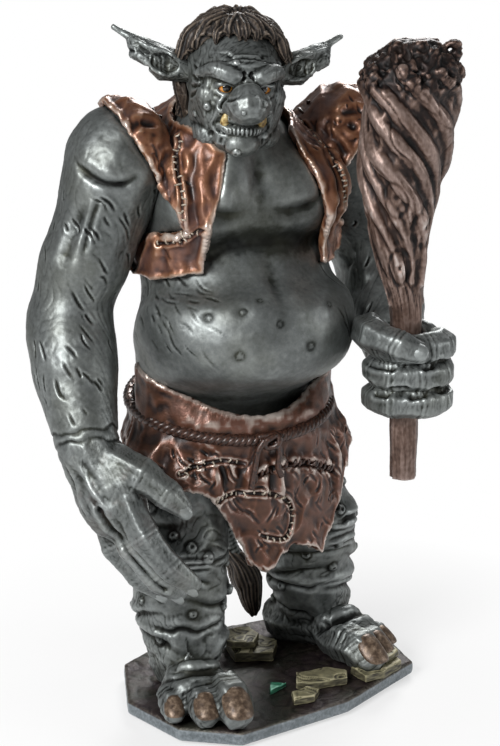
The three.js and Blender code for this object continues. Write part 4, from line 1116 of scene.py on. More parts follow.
def skin_right_arm(depth):
    """The arm that hangs, with its open hand."""
    chance = random.Random(31)
    clay = Clay("right_arm_casting", ["right_arm", "right_hand"], 0.6, swell=0.18)
    local = into(OPEN_HAND, clay.at)
    arm = eased(local[:, 2], -2, 10)
    clay.round_off(170, arm)
    clay.round_off(10, 1 - arm)
    clay.smooth(8, 1 - arm)
    shoulder, elbow, wrist = SHOULDERS["right"], ELBOWS["right"], WRISTS["right"]
    clay.mound(shoulder + (-14, -10, -8), (30, 34, 44), 2.0)
    clay.mound(elbow + (-10, 6, 2), (20, 22, 20), 2.0)
    clay.mound(elbow + (-4, -14, -18), (26, 24, 40), 1.4)
    clay.settle()
    # The crease under the shoulder muscle, and the two heads of the upper arm
    crease = [
        (-93, -2, 256), (-87, -5.6, 250), (-83.6, -9.9, 246.5), (-78.5, -15, 244), (-71.9, -16.3, 244),
        (-65.5, -18, 248),
    ]
    clay.fold(clay.on(crease, 30), 1.8, 1.6, 0.6)
    clay.crease(clay.on([(-92, -12, 236), (-95, -8, 222), (-95, -4, 208)], 18), 2.6, 1.2, 0.2)
    clay.crease(clay.on([(-84, -16, 238), (-88, -14, 226), (-90, -12, 214)], 18), 1.2, 0.8, 0.4)
    clay.settle()
    for step in (-1, 4):
        clay.hoop(wrist + (0, 0, step), wrist - elbow, 18, 1.0, 0.5, 3.0)
    # Clefts between the fingers on both faces of the hand, then knuckles and the sinews that run to them
    for one, other in zip(HANGING_FINGERS[:-1], HANGING_FINGERS[1:]):
        for x in (-9, 9):
            cleft = clay.on(out_of(OPEN_HAND, (one + other) / 2 + (x, 0, 0)), 30)
            clay.crease(cleft, 1.3, 2.0, 0.2, 0)
    clay.settle()
    for finger in HANGING_FINGERS:
        knuckled(clay, OPEN_HAND, finger, 8, 0.25)
        y = finger[0][1]
        sinew = [(-12, y * 0.5, -4), (-12.5, y * 0.8, -18), (-8, y, -30)]
        clay.crease(clay.on(out_of(OPEN_HAND, sinew), 14), 1.6, -1.1, 0.3)
        clay.mound(out_of(OPEN_HAND, (-7, y, -30)), (10, 10, 10), 1.0)
    knuckled(clay, OPEN_HAND, HANGING_THUMB, 9, 0.25)
    clay.settle()
    slant = (0.5, -0.25, -0.82)
    furrowed(clay, slant, 24, 2.4, 0.12 * depth, 0.4, 3, arm)
    furrowed(clay, (0.3, -0.9, -0.3), 7, 1.1, 0.12 * depth, 0.4, 8, 1 - arm)
    clay.settle()
    seen = clay.at[:, 1] < 14
    upper = (clay.at[:, 2] < 240) & (clay.at[:, 2] > elbow[2] - 26)
    gashes(clay, chance, 46, slant, upper & seen, (5, 12), 0.8)
    gashes(clay, chance, 26, slant, (arm > 0.9) & seen & (clay.at[:, 2] < 244), (4, 9), 0.45)
    gashes(clay, chance, 14, (0.2, 0.4, -0.9), (arm > 0.9) & ~seen, (6, 12), 0.7)
    uneven(clay, ((10, 0.35), (4, 0.14), (1.6, 0.06)), 3)
    clay.settle()
    clay.tucked(["waistcoat_back", "waistcoat_right"])
    hand_and_arm(clay, "right", heading(OPEN_HAND, (0, 0, 1)), 30)


def wrapped(turns, radius, z):
    """Points round the club, in the grip's frame."""
    return [(math.cos(a) * radius, -math.sin(a) * radius, z) for a in turns]


def skin_left_arm(depth):
    """The bent arm, whose fist is closed round the club."""
    chance = random.Random(32)
    clay = Clay("left_arm_casting", ["left_arm", "left_hand"], 0.6, swell=0.12)
    local = into(GRIP, clay.at)
    arm = eased(local[:, 1], 27, 36)
    clay.worked = np.where(np.hypot(local[:, 0], local[:, 1]) < BORE, 0.0, 1.0)
    clay.round_off(170, arm)
    clay.round_off(10, (1 - arm) * clay.worked)
    clay.smooth(6, (1 - arm) * clay.worked)
    shoulder, elbow, wrist = SHOULDERS["left"], ELBOWS["left"], WRISTS["left"]
    clay.mound(shoulder + (14, -8, -8), (30, 34, 44), 2.0)
    clay.mound(elbow + (8, 8, 0), (20, 22, 20), 2.0)
    clay.settle()
    ring = shoulder + (2, 0, -4)
    arc = [ring + (26 * math.cos(a), 26 * math.sin(a), 5 * math.cos(2 * a)) for a in np.linspace(-1.6, 0.9, 9)]
    clay.fold(clay.on(arc, 30), 1.8, 1.6, 0.6)
    clay.settle()
    for step in (0, 5):
        clay.hoop(wrist - step * unit(wrist - elbow), wrist - elbow, 19, 1.0, 0.5, 3.0)
    for row in (1, 0, -1):
        end = 176 if row == 1 else 205
        turns = [math.radians(6 + (end - 6) * share) for share in (0, 0.18, 0.38, 0.6, 0.8, 1)]
        finger = wrapped(turns, WRAP, row * FINGER_PITCH)
        knuckled(clay, GRIP, finger, 8, 0.45)
        knuckle = wrapped(turns[1:2], WRAP + 6, row * FINGER_PITCH)[0]
        clay.mound(out_of(GRIP, knuckle), (11, 11, 11), 1.2)
    for z in (0.5 * FINGER_PITCH, -0.5 * FINGER_PITCH):
        cleft = wrapped(np.linspace(-0.1, 3.3, 24), WRAP + 6, z)
        clay.crease(clay.snapped(out_of(GRIP, cleft)), 1.1, 1.3, 0.3)
    knuckled(clay, GRIP, FIST_THUMB, 8.5, 0.45)
    clay.settle()
    slant = unit(0.5 * unit(wrist - elbow) + np.array((-0.5, 0.1, -0.6)))
    furrowed(clay, slant, 22, 2.4, 0.12 * depth, 0.4, 13, arm)
    furrowed(clay, (0.2, -0.5, 0.8), 7, 1.1, 0.12 * depth, 0.4, 18, 1 - arm)
    clay.settle()
    gashes(clay, chance, 34, slant, (arm > 0.9) & (clay.at[:, 1] < 40), (6, 13), 0.9)
    uneven(clay, ((10, 0.35), (4, 0.14), (1.6, 0.06)), 5)
    clay.settle()
    clay.tucked(["waistcoat_back", "waistcoat_left"])
    hand_and_arm(clay, "left", heading(GRIP, (0, 1, 0)), 24)


TAIL_LINE = FIGURE + np.array(((2, 32, 132), (4, 49, 116), (10, 55, 86), (19, 57, 60), (26, 55, 42)))


def skin_tail(depth):
    """The tail, ringed all the way along."""
    clay = Clay("tail_casting", ["tail"], 0.7)
    clay.smooth(24)
    line = drawn(TAIL_LINE, 34)
    for i in range(2, 32):
        clay.hoop(line[i], line[i + 1] - line[i - 1], 13, 0.7, 0.45, 1.2)
    furrowed(clay, (0, 0, 1), 8, 1.1, 0.25 * depth, 0.2, 4)
    uneven(clay, ((6, 0.25), (2, 0.1)), 7)
    clay.finish(pewter_skin(), "skin", ["tail"])


# Head


# Rolls of flesh on the left of the face, as points with a radius. Round the eye they are measured from its middle:
# the upper lid, the lower lid and the bag. Then come the brow, the fold beside the mouth, and its corner.
EYE = (9.63, -23.4, 1.5, 0)
EYE_ROLLS = (
    (
        (-4.6, -2.2, -0.6, 1.0), (-2.6, -4.4, 2.4, 1.3), (0.6, -4.9, 3.6, 1.5), (3.6, -3.2, 2.2, 1.4),
        (5.6, 0.2, -1.0, 1.0),
    ),
    (
        (-4.6, -2.2, -0.8, 0.9), (-2.0, -4.2, -3.2, 1.2), (1.2, -4.4, -3.9, 1.3), (4.0, -2.6, -2.8, 1.2),
        (5.6, 0.2, -1.0, 0.9),
    ),
    ((-4.0, -3.0, -4.8, 0.9), (0.5, -4.6, -7.6, 2.0), (5.2, -1.8, -6.0, 1.2)),
)
SIDE_ROLLS = (
    ((2.5, -25.5, 6.5, 3.0), (8, -28.6, 8.4, 3.8), (15, -24.5, 10.6, 3.6), (20.5, -15, 7.5, 2.2)),
    ((6.5, -31, -6, 1.4), (12.5, -27, -11, 2.2), (15.5, -21.5, -19, 2.2), (13, -19.5, -26, 1.2)),
    ((11, -24, -12.8, 1.8), (15.5, -21, -15.2, 1.3)),
)
LIP_ROLLS = (
    (
        (-14.5, -21.5, -15.8, 1.3), (-7.5, -28.6, -15.0, 1.8), (0, -30.6, -15.9, 1.9), (7.5, -28.6, -15.0, 1.8),
        (14.5, -21.5, -15.8, 1.3),
    ),
    (
        (-14.5, -21.5, -18.2, 1.3), (-7.5, -28.4, -21.0, 2.0), (0, -30.4, -21.6, 2.4), (7.5, -28.4, -21.0, 2.0),
        (14.5, -21.5, -18.2, 1.3),
    ),
)
# Cheek, nostril and jowl on the left, each with its sizes
SIDE_LUMPS = (((16, -18, -4), (12, 12, 12)), ((7.2, -33.5, -8.2), (8, 9.5, 7.5)), ((14, -12, -26), (15, 17, 13)))
# Chin and forehead
MIDDLE_LUMPS = (((0, -27.5, -29), (15, 11, 11)), ((0, -24, 13), (20, 9, 9)))
FACE_WARTS = (
    ((5.5, -43, -4), 1.5), ((-17, -22, -9), 1.8), ((12, -27, -24), 1.7), ((-6, -29, 16), 1.5),
    ((19.5, -14, 13), 1.9), ((-2.5, -30, -31), 2.0), ((-3.5, -44, -8), 1.0), ((2, -44, -1.5), 0.9),
    ((-20, -14, -15), 1.5),
)


def head_clay():
    """The head with its lids, brows, cheeks and lips put on."""

    def roll(points, side=1):
        *line, radii = np.array(points, float).T
        return face(*mirrored(side, zip(*line))), radii

    def lump(spot, sizes):
        turn = Matrix.Identity(3) if len(set(sizes)) == 1 else HEAD.to_3x3()
        return face(spot)[0], sizes, turn

    rods, lumps = [], []
    for side in (-1, 1):
        rods += [roll(np.array(points) + EYE, side) for points in EYE_ROLLS]
        rods += [roll(points, side) for points in SIDE_ROLLS]
        lumps += [lump(*mirrored(side, [spot]), sizes) for spot, sizes in SIDE_LUMPS]
    rods += [roll(points) for points in LIP_ROLLS]
    lumps += [lump(spot, sizes) for spot, sizes in MIDDLE_LUMPS]
    return Clay("head_casting", ["head"], 0.5, lumps, rods, swell=0.15)


def skin_head(depth):
    """The head without its ears, eyes, tusks and hair."""
    clay = head_clay()
    local = into(HEAD, clay.at) / HEAD_SCALE
    front = eased(-local[:, 1], -6, 8)
    clay.smooth(40, 1 - front)
    clay.smooth(8, front)

    def groove(side, points, width, depth, lip, count=14):
        clay.crease(clay.on(face(*mirrored(side, points)), count), width, depth, lip)

    for side in (-1, 1):
        # Crow's feet, brow folds, the fold beside the mouth and the nostrils
        for drop in (-4.5, -1, 2.5, 6):
            rays = ((16.5, -19, drop * 0.6), (20.5, -13, drop * 1.2), (23.5, -5, drop * 1.7))
            groove(side, rays, 0.7, 0.7, 0.5)
        groove(side, ((6.3, -33, -3), (9.8, -29.5, -6.8), (12, -26, -13)), 0.9, 1.1, 0.4)
        groove(side, ((5, -29, 4), (10, -29.5, 5), (16, -25, 6.8)), 0.8, 0.8, 0.3)
        groove(side, ((2.2, -29.5, 11.5), (1.6, -29, 7.5), (2.8, -30.5, 3.5)), 0.7, 0.8, 0.4)
        groove(side, ((5, -27, -24.5), (10, -24, -23.5), (15.5, -19, -24.5)), 0.9, 0.7, 0.4)
        nostril = clay.snapped(face((side * 3.9, -39.5, -10.8)))[0]
        clay.crease(np.array([nostril, nostril + (side * 1.2, 1.2, 0.1)]), 1.25, 2.4, 0.25, 0)
        groove(side, ((4.6, -41.5, -3.5), (7.4, -37.8, -5.0), (8.5, -34, -4.2)), 0.7, 0.7, 0.3)
        for x, z in ((4, -26), (7, -31), (2.5, -33), (10.5, -27.5)):
            groove(side, ((x, -28, z + 2), (x + 0.8, -27, z - 2)), 0.6, 0.4, 0.4)
    # Furrows of the forehead and of the nose's bridge, and the cracks of the lips
    for height, bow in ((15.5, 1.6), (19, 2.2), (22.5, 2.6)):
        brow = (
            (-17, -20, height - 1), (-8, -27, height + bow), (0, -28, height), (8, -27, height + bow),
            (17, -20, height - 1),
        )
        groove(1, brow, 0.85, 0.8, 0.5, 26)
    for height in (3, 0.5, -1.6):
        groove(1, ((-4.5, -31, height + 1), (0, -33, height), (4.5, -31, height + 1)), 0.6, 0.5, 0.5)
    for x in np.linspace(-12, 12, 13):
        groove(1, ((x, -31, -13), (x * 0.97, -31, -16)), 0.42, 0.35, 0.5, 5)
        groove(1, ((x, -31, -20), (x * 0.97, -31, -23.5)), 0.42, 0.35, 0.5, 5)
    clay.settle()
    for spot, radius in FACE_WARTS:
        clay.wart(clay.snapped(face(spot))[0], radius, 0.62 * radius, 0.25 * radius)
    clay.settle()
    cheeks = eased(np.abs(local[:, 0]), 10, 16)
    furrowed(clay, (0.2, 0.3, 0.9), 10, 1.4, 0.2 * depth, 0.3, 3, cheeks)
    furrowed(clay, (0.9, 0.2, 0.1), 12, 1.3, 0.15 * depth, 0.3, 5, (1 - cheeks) * eased(local[:, 2], 8, 12))
    nose = np.exp(-(((local - (0, -38, -6)) / 9) ** 2).sum(axis=1))
    clay.push(-0.3 * nose * cracks(grain(clay.at, 1.6, 9), 0.5))
    uneven(clay, ((7, 0.22), (3, 0.12), (1.3, 0.07)), 8)
    clay.finish(pewter_skin(), "skin", ["head"])


def skin_ear(name, depth):
    """A long pointed ear, ribbed inside and nicked below."""
    side = SIDES[name]
    clay = Clay(f"{name}_ear_casting", [f"{name}_ear"], 0.4, swell=0.15)
    clay.smooth(12)

    def ear(*points):
        return clay.on(out_of(HEAD, mirrored(side, points)), 18)

    clay.crease(ear((24, -2, 10), (34, 0, 14), (46, 8, 18.5)), 1.0, -0.7, 0.3)
    clay.crease(ear((22, -2, 5), (32, -1, 8), (43, 6, 14)), 1.3, 0.9, 0.3)
    clay.crease(ear((24, -2, 0.5), (33, 0, 2.5), (43, 6, 9.5)), 0.9, -0.6, 0.3)
    for step in range(6):
        x = 26 + 3.4 * step
        clay.crease(ear((x, -2, 3 + step * 1.5), (x + 4, 0, 9 + step * 1.3)), 0.5, 0.4, 0.4)
    clay.settle()
    # Nicks in the lower edge
    for x, z in ((37, 3.5), (45, 11)):
        notch = clay.snapped(out_of(HEAD, (side * x, 6, z)))[0]
        clay.crease(np.array([notch - (0, 2, 0), notch + (0, 2, 0)]), 0.9, 1.1, 0.1, 0)
    furrowed(clay, heading(HEAD, (side, 0.2, 0.5)), 7, 0.9, 0.2 * depth, 0.2, 6)
    uneven(clay, ((4, 0.15), (1.3, 0.05)), 5)
    clay.finish(pewter_skin(), "skin", [f"{name}_ear"])


def eyeball(name):
    """An eyeball that looks ahead, with a raised clear front over the iris."""
    side = SIDES[name]
    low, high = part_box(f"{name}_eye")
    centre = (low + high) / 2
    radius = (high - low).length / 2 / math.sqrt(3) * 0.98
    gaze = Vector((-0.28 - 0.05 * side, -0.93, -0.02)).normalized()
    ball = bmesh.new()
    turn = Vector((0, 0, 1)).rotation_difference(gaze).to_matrix().to_4x4()
    bmesh.ops.create_uvsphere(ball, u_segments=40, v_segments=28, radius=radius)
    layer = ball.verts.layers.float.new("gaze")
    for vertex in ball.verts:
        away = vertex.co.angle(Vector((0, 0, 1))) / math.pi
        vertex[layer] = min(away * 1.35, 1)
        vertex.co *= 1 + 0.1 * math.exp(-((away / 0.17) ** 2))
    bmesh.ops.transform(ball, matrix=Matrix.Translation(centre) @ turn, verts=ball.verts)
    finished(from_bmesh(f"{name}_eyeball", ball), varnished_eye(), [f"{name}_eye"])


def tusk(name):
    """A curved tusk with growth rings, worn blunt."""
    side = SIDES[name]
    root = face((side * 8.5, -24, -21))[0]
    steps = heading(HEAD, [(0, 0, 0), (side, -3.5, 3.8), (side, -4.5, 7.2)])
    path = drawn(np.column_stack([root + steps, (1.0, 0.92, 0.3)]), 22)
    for i, place in enumerate(path):
        place[3] *= 1 + 0.05 * math.sin(i * 1.9)
    made = thongs(f"{name}_tusk_ivory", [path], 1.9)
    finished(made, stained_ivory(), [f"{name}_tusk"])


def peg_teeth():
    """Worn, uneven teeth behind the lips."""
    chance = random.Random(5)
    teeth = bmesh.new()
    for jaw, height, count in ((1, -15.2, 8), (-1, -20.6, 7)):
        for i in range(count):
            x = (i - (count - 1) / 2) * 2.9 + chance.uniform(-0.3, 0.3)
            if jaw < 0 and 7 < abs(x) < 10:
                # The tusks stand here
                continue
            place = face((x, -26.8 + 0.028 * x * x, height))[0]
            size = Matrix.Diagonal((chance.uniform(1.0, 1.35) * MM, 0.9 * MM, chance.uniform(1.6, 2.3) * MM, 1))
            lean = Euler((0, math.radians(chance.uniform(-9, 9)), 0)).to_matrix().to_4x4()
            matrix = Matrix.Translation(Vector(place) * MM) @ HEAD.to_3x3().to_4x4() @ lean @ size
            new = bmesh.ops.create_cube(teeth, size=2, matrix=matrix)["verts"]
            edges = list({e for v in new for e in v.link_edges})
            bmesh.ops.bevel(
                teeth, geom=edges, offset=0.55 * MM, affect="EDGES", segments=3, profile=0.5, material=-1
            )
    finished(from_bmesh("peg_teeth", teeth), stained_ivory())


# Nails


def nail(nails, chance, centre, forward, out, width, length, thickness):
    """A thick nail: a shell curved over a toe or finger, grooved along it and chipped at the tip."""
    side = Vector(forward).cross(Vector(out)).normalized()
    forward = Vector(out).cross(side).normalized() * -1
    axes = Matrix((side, -forward, Vector(out).normalized())).transposed().to_4x4()
    place = Matrix.Translation(Vector(centre) * MM) @ axes
    new = bmesh.ops.create_uvsphere(nails, u_segments=24, v_segments=14, radius=1)["verts"]
    for vertex in new:
        x, y, z = vertex.co
        x = math.copysign(abs(x) ** 0.8, x)
        y = math.copysign(abs(y) ** 0.75, y)
        ridge = 1 + 0.06 * math.sin(11 * x + 2) + 0.05 * noise.noise((x * 4, y * 4, chance))
        tip = 1 + 0.1 * noise.noise((x * 3, 5, chance)) if y > 0.5 else 1
        lift = z * thickness * ridge - 0.18 * width * x * x
        vertex.co = Vector((x * width / 2, y * length / 2 * tip, lift)) * MM
    bmesh.ops.transform(nails, matrix=place, verts=new)


def hand_nail_set(name, nails):
    """Nails painted as the skin round them, a shade lighter."""
    made = from_bmesh(name, nails)
    relief = made.data.attributes.new("relief", "FLOAT", "POINT")
    relief.data.foreach_set("value", np.full(len(made.data.vertices), 0.66))
    finished(made, pewter_skin())


def toe_nails(name):
    """Horn nails on one foot's toes."""
    nails = bmesh.new()
    place = foot_frame(name)
    for i, (root, tip, radius) in enumerate(toes_of(name)):
        root, tip = out_of(place, root), out_of(place, tip)
        ahead = unit(tip - root)
        out = unit(ahead * 0.62 + (0, 0, 0.78))
        centre = tip + out * radius * 0.72
        level = np.cross(np.cross(out, ahead), out)
        nail(nails, i + 3 * SIDES[name], centre, level, out, radius * 1.4, radius * 1.7, radius * 0.2)
    finished(from_bmesh(f"{name}_toe_nails", nails), horn())


def hand_nails():
    """The open hand's four nails and the fist's thumb nail."""
    nails = bmesh.new()
    radius = 4.8
    tips = [(finger[2], finger[3], (-0.78, 0, -0.63)) for finger in HANGING_FINGERS]
    tips.append((HANGING_THUMB[2], HANGING_THUMB[3], (-0.55, -0.75, -0.2)))
    for i, (before, tip, out) in enumerate(tips):
        before, tip = out_of(OPEN_HAND, before), out_of(OPEN_HAND, tip)
        out = unit(heading(OPEN_HAND, out))
        ahead = unit(tip - before)
        out = unit(out - 0.8 * (out @ ahead) * ahead)
        centre = tip + out * radius * 0.72 + ahead * 0.6
        nail(nails, i, centre, ahead, out, radius * 1.35, radius * 1.9, radius * 0.2)
    hand_nail_set("right_hand_nails", nails)
    nails = bmesh.new()
    before, tip = out_of(GRIP, FIST_THUMB[3:])
    out = unit(heading(GRIP, (-0.35, -0.9, 0.35)))
    nail(nails, 9, tip + out * 4.1, unit(tip - before), out, 7.4, 9.5, 1.1)
    hand_nail_set("left_hand_nails", nails)


# Hair


def strands_along(clay, paths, count, depth, out_from):
    """Combs each lock into strands that follow it."""
    steps = 36
    samples = [drawn(path[:, :3], steps) for path in paths]
    tangents = np.vstack([np.gradient(line, axis=0) for line in samples])
    samples = np.vstack(samples)
    nearest, _ = nearest_of(samples, clay.at)
    along = tangents[nearest] / np.linalg.norm(tangents[nearest], axis=1)[:, None]
    out = samples[nearest] - out_from
    side = np.cross(along, out)
    side /= np.linalg.norm(side, axis=1)[:, None]
    up = np.cross(side, along)
    away = clay.at - samples[nearest]
    angle = np.arctan2((away * side).sum(axis=1), (away * up).sum(axis=1))
    share = (nearest % steps) / steps
    wander = grain(clay.at, 9, 2)
    waves = np.cos(count * (angle + 0.7 * share) + 2.2 * wander + nearest // steps)
    clay.push(depth * (np.abs(waves) ** 0.7 * np.sign(waves)) - 0.3 * depth)


def mane(depth):
    """Two rows of locks combed down over the CAD hair, which run from the crown to the nape and the temples."""
    chance = random.Random(8)
    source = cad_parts["hair"]
    shell = BVHTree.FromObject(source, bpy.context.evaluated_depsgraph_get())
    centre = out_of(HEAD, (0, 0, 0))
    paths = []
    # Each lock's turn round the head, and whether it is of the lower or the upper row
    rows = [(angle, level) for level in (0, 1) for angle in np.arange(-180, 180, 17 if level else 20)]
    for angle, level in rows:
        angle += chance.uniform(-5, 5) + 8 * level
        facing = abs((angle + 180) % 360 - 180)
        bottom = -58 if facing > 95 else (-20 if facing > 62 else 22)
        top = 76 - 16 * level if facing > 62 else 84
        if facing <= 62 and level:
            continue
        steps = []
        for share in np.linspace(0, 1, 8):
            tilt = math.radians(top + (bottom - top) * share)
            turn = math.radians(angle - 90 + 9 * math.sin(3 * share + angle))
            ray = np.array((math.cos(turn) * math.cos(tilt), math.sin(turn) * math.cos(tilt), math.sin(tilt)))
            ray = out_of(HEAD, ray) - centre
            hit = shell.ray_cast(Vector(centre + 90 * ray) * MM, Vector(-ray))[0]
            if hit is None or (hit / MM - Vector(centre)).dot(Vector(ray)) < 14:
                if steps:
                    # The lock's end hangs free
                    steps.append([*(np.array(steps[-1][:3]) + (0, 0, -5) + 1.5 * ray), 0.8])
                break
            spot = np.array(hit / MM) - 0.9 * ray
            steps.append([*spot, 2.7 * (1 - 0.55 * share)])
        if len(steps) > 3:
            paths.append(np.array(steps))
    rods = [(path[:, :3], path[:, 3]) for path in paths]
    clay = Clay("hair_mane", ["hair"], 0.55, rods=rods, swell=0.05)
    clay.smooth(4)
    strands_along(clay, paths, 6, 0.42 * depth, centre)
    clay.settle()
    furrowed(clay, (0, 0.3, -1), 12, 1.1, 0.25, 0.25, 3)
    clay.finish(greasy_hair(), "hair", ["hair"])


def tuft(depth):
    """The bunch of hair at the tail's end."""
    chance = random.Random(9)
    line = FIGURE + np.array(((23, 57, 46), (29, 53, 33), (31, 51, 20)))
    paths = []
    for i in range(11):
        turn = i / 11 * 2 * math.pi
        ring = np.array((math.cos(turn), math.sin(turn), 0))
        reach = chance.uniform(0.8, 1.1)
        paths.append(np.array([
            [*(line[0] + 2.4 * ring), 1.3], [*(line[1] + 5.2 * ring + (0, 0, 3)), 2.0],
            [*(line[2] + 3.4 * ring), 1.5], [*(line[2] + 1.2 * ring + (1, -1, -6 * reach)), 0.6],
        ]))
    rods = [(path[:, :3], path[:, 3]) for path in paths]
    clay = Clay("tail_tuft_hair", ["tail_tuft"], 0.5, rods=rods, swell=0)
    clay.smooth(3)
    strands_along(clay, paths, 5, 0.35 * depth, line[1])
    clay.at[:, 2] = np.maximum(clay.at[:, 2], GROUND + 0.3)
    clay.finish(greasy_hair(), "hair", ["tail_tuft"])


# Hides


def rim_gap(clay, facing):
    """How far each point of a hide is from the hide's edge."""
    return nearest_of(clay.at[np.abs(facing) < 0.42], clay.at)[1]


def crumpled(clay, out, depth, seed, size=(12, 12, 26), lift=(0.7, 1.4, 0.8)):
    """Crumples a hide: both faces stand off the body in broad folds, and the outer face takes fine creases."""
    size = np.array(size, float)
    level, broad, ridged = lift
    height = level + broad * grain(clay.at, size * 1.5, seed) + ridged * pleats(clay.at, size, seed + 1)
    clay.at = clay.at + out * (depth * np.clip(height, 0, 2.6))[:, None]
    clay.settle()
    bend = 3 * np.column_stack([grain(clay.at, 9, seed + i) for i in range(3)])
    fine = 0.2 * pleats(clay.at + bend, size * 0.6, seed + 2) + 0.3 * grain(clay.at + bend, size * 0.3, seed + 3)
    clay.push(depth * fine)
    clay.settle()


def outwards(clay, *nodes):
    """The way out from the body under a hide, smoothed over the body's flats."""
    tree = body_tree(*nodes)
    out = clay.mean(np.array([tree.find_nearest(Vector(p) * MM)[1] for p in clay.at.tolist()]), 14)
    return out / np.maximum(np.linalg.norm(out, axis=1), 1e-6)[:, None]


def ragged(clay, facing, edge, roll):
    """Rolls a hide's edge outwards, tears it unevenly and rubs it bright."""
    outer = eased(facing, -0.1, 0.5)
    rim = bell(edge, 1.3, 1.2)
    clay.at += clay.normals * (outer * rim * roll * (0.8 + 0.6 * grain(clay.at, 5, 3)))[:, None]
    edges = 1 - eased(np.abs(facing), 0.35, 0.8)
    tear = 0.7 * grain(clay.at, 3.2, 14) + 0.35 * grain(clay.at, 1.5, 4)
    clay.at += clay.normals * (edges * tear)[:, None]
    front = clay.at[:, 1] < -14
    clay.wear = np.where(front, 0.4, 0.25) * outer * bell(edge, 0.7) * (0.6 + 0.8 * grain(clay.at, 4, 6))


def stitches(name, surface, seams, spacing, length, thick, lift):
    """Thongs sewn across seams, each a short bent strand whose ends go into the hide."""
    chance = random.Random(len(name))
    whole = bmesh.new()
    for mesh in surface:
        whole.from_mesh(mesh)
    tree = BVHTree.FromBMesh(whole)
    whole.free()
    lines = []
    for seam in seams:
        total = np.linalg.norm(np.diff(seam, axis=0), axis=1).sum()
        steps = drawn(seam, max(int(total / spacing), 3))
        for here, ahead in zip(steps[:-1], steps[1:]):
            along = unit(ahead - here)
            hit, normal, _, _ = tree.find_nearest(Vector(here) * MM)
            across = unit(np.cross(normal, along) + along * chance.uniform(-0.25, 0.25))
            half = length / 2 * chance.uniform(0.8, 1.2)
            thong = []
            for share in np.linspace(-1, 1, 7):
                near, out, _, _ = tree.find_nearest(Vector(np.array(hit) / MM + across * half * share) * MM)
                rise = lift * (1 - abs(share) ** 2.5) - 0.6 * thick * abs(share) ** 4
                thong.append([*(np.array(near) / MM + np.array(out) * rise), 1 - 0.35 * abs(share) ** 3])
            lines.append(thong)
    return thongs(name, lines, thick)


# Seams as points of x and z, looked at from the front or the back
FRONT_SEAMS = (
    ((-47, 262), (-49.5, 254), (-51.5, 244), (-52, 233), (-51, 219)),
    ((-57, 217), (-50, 221), (-44, 225)),
    ((17, 262), (20, 250), (23, 238), (24, 226)),
)
YOKE_SEAMS = (
    ((-48, 238), (-30, 232), (-14, 231), (4, 232), (22, 239)),
    ((-11, 230), (-13, 220), (-10, 210)),
    ((-46, 220), (-36, 214), (-28, 217), (-30, 226)),
)


def waistcoat(crumple):
    """The waistcoat: the back with its yoke, two front panels, and all that is sewn on them."""
    nodes = ["waistcoat_back", "waistcoat_right", "waistcoat_left"]
    clay = Clay("waistcoat", nodes, 0.66, swell=0.2)
    clay.smooth(8)
    out = outwards(clay, "trunk", "right_arm", "left_arm")
    facing = (out * clay.normals).sum(axis=1)
    edge = rim_gap(clay, facing)
    clay.worked = eased(facing, 0.0, 0.6)
    crumpled(clay, out, crumple, 2)
    for side in (-1, 1):
        for x, top, low, bow in ((30, 258, 212, 3), (36, 262, 208, -2), (41, 250, 206, 2), (34, 236, 207, -3)):
            fold = ((side * x, top), (side * (x + bow), (top + low) / 2), (side * x, low))
            line = clay.traced([(x + MIDDLE, z) for x, z in fold], 20)
            if len(line) > 4:
                clay.crease(line, 1.9, 0.9, 0.8)
    clay.settle()
    chance = random.Random(51)
    face_on = (facing > 0.8) & (edge > 3)
    gashes(clay, chance, 46, (0.25, 0, -1), face_on, (5, 15), 0.55)
    gashes(clay, chance, 24, (0.8, 0, -0.6), face_on, (4, 10), 0.5)
    for side in (-1, 1):
        for x, z in ((44, 248), (51, 254), (56, 262)):
            fold = mirrored(side, ((25 + 0.2 * x, -8, 262), (x - 4, -16, z + 7), (x, -20, z)))
            clay.crease(clay.on(FIGURE + fold, 16), 1.6, 0.8, 0.9)
    for x in (-44, -30, -16, -2, 13):
        clay.crease(clay.traced(((x, 228), (x + 2, 218), (x - 1, 208)), 20, BEHIND), 1.8, 1.4, 0.6)
    clay.settle()
    front = [clay.traced(seam, 20) for seam in FRONT_SEAMS]
    back = [clay.traced(seam, 26, BEHIND) for seam in YOKE_SEAMS]
    for seam in front + back:
        clay.crease(seam, 0.8, 1.0, 0.5, 0)
    clay.worked = np.ones(len(clay.at))
    clay.settle()
    ragged(clay, facing, edge, 0.8)
    clay.shine = 0.5
    fronts, behind = clay.parted((0, 5, 230), (0, 1, 0))
    made = [linked("waistcoat_back_hide", behind)]
    made += sorted_bodies(fronts, ["waistcoat_right_hide", "waistcoat_left_hide"], lambda middle: middle[0])
    for piece, node in zip(made, nodes):
        finished(piece, coppered_hide(), [node])
    surfaces = [piece.data for piece in made]
    finished(stitches("panel_stitches", surfaces, front, 3.0, 4.2, 0.42, 0.55), pale_sinew())
    finished(stitches("yoke_stitches", surfaces, back, 3.6, 5.2, 0.55, 0.7), waxed_thong())
    shoulder = ((24, 5, 266), (34, 5, 268), (46, 5, 272), (54, 5, 268))
    shoulders = [drawn(FIGURE + mirrored(side, shoulder), 12) for side in (-1, 1)]
    lacing = stitches("shoulder_lacing", surfaces, shoulders, 3.8, 7.5, 0.75, 1.0)
    finished(lacing, waxed_thong())


APRON_SEAMS = {
    "front_apron": {
        "whipped": (((-20, 114), (-7, 117), (7, 115), (17, 111), (26, 106)),),
        "sewn": (
            ((-52, 117), (-44, 120), (-34, 122), (-24, 120)),
            ((-37, 105), (-25, 106.5), (-9, 104), (0, 95), (-3, 83), (-16, 86)),
        ),
    },
    "back_apron": {
        "whipped": (((-18, 126), (-21, 112), (-19, 100)),),
        "sewn": (((2, 124), (14, 118), (13, 106), (1, 104)),),
    },
}


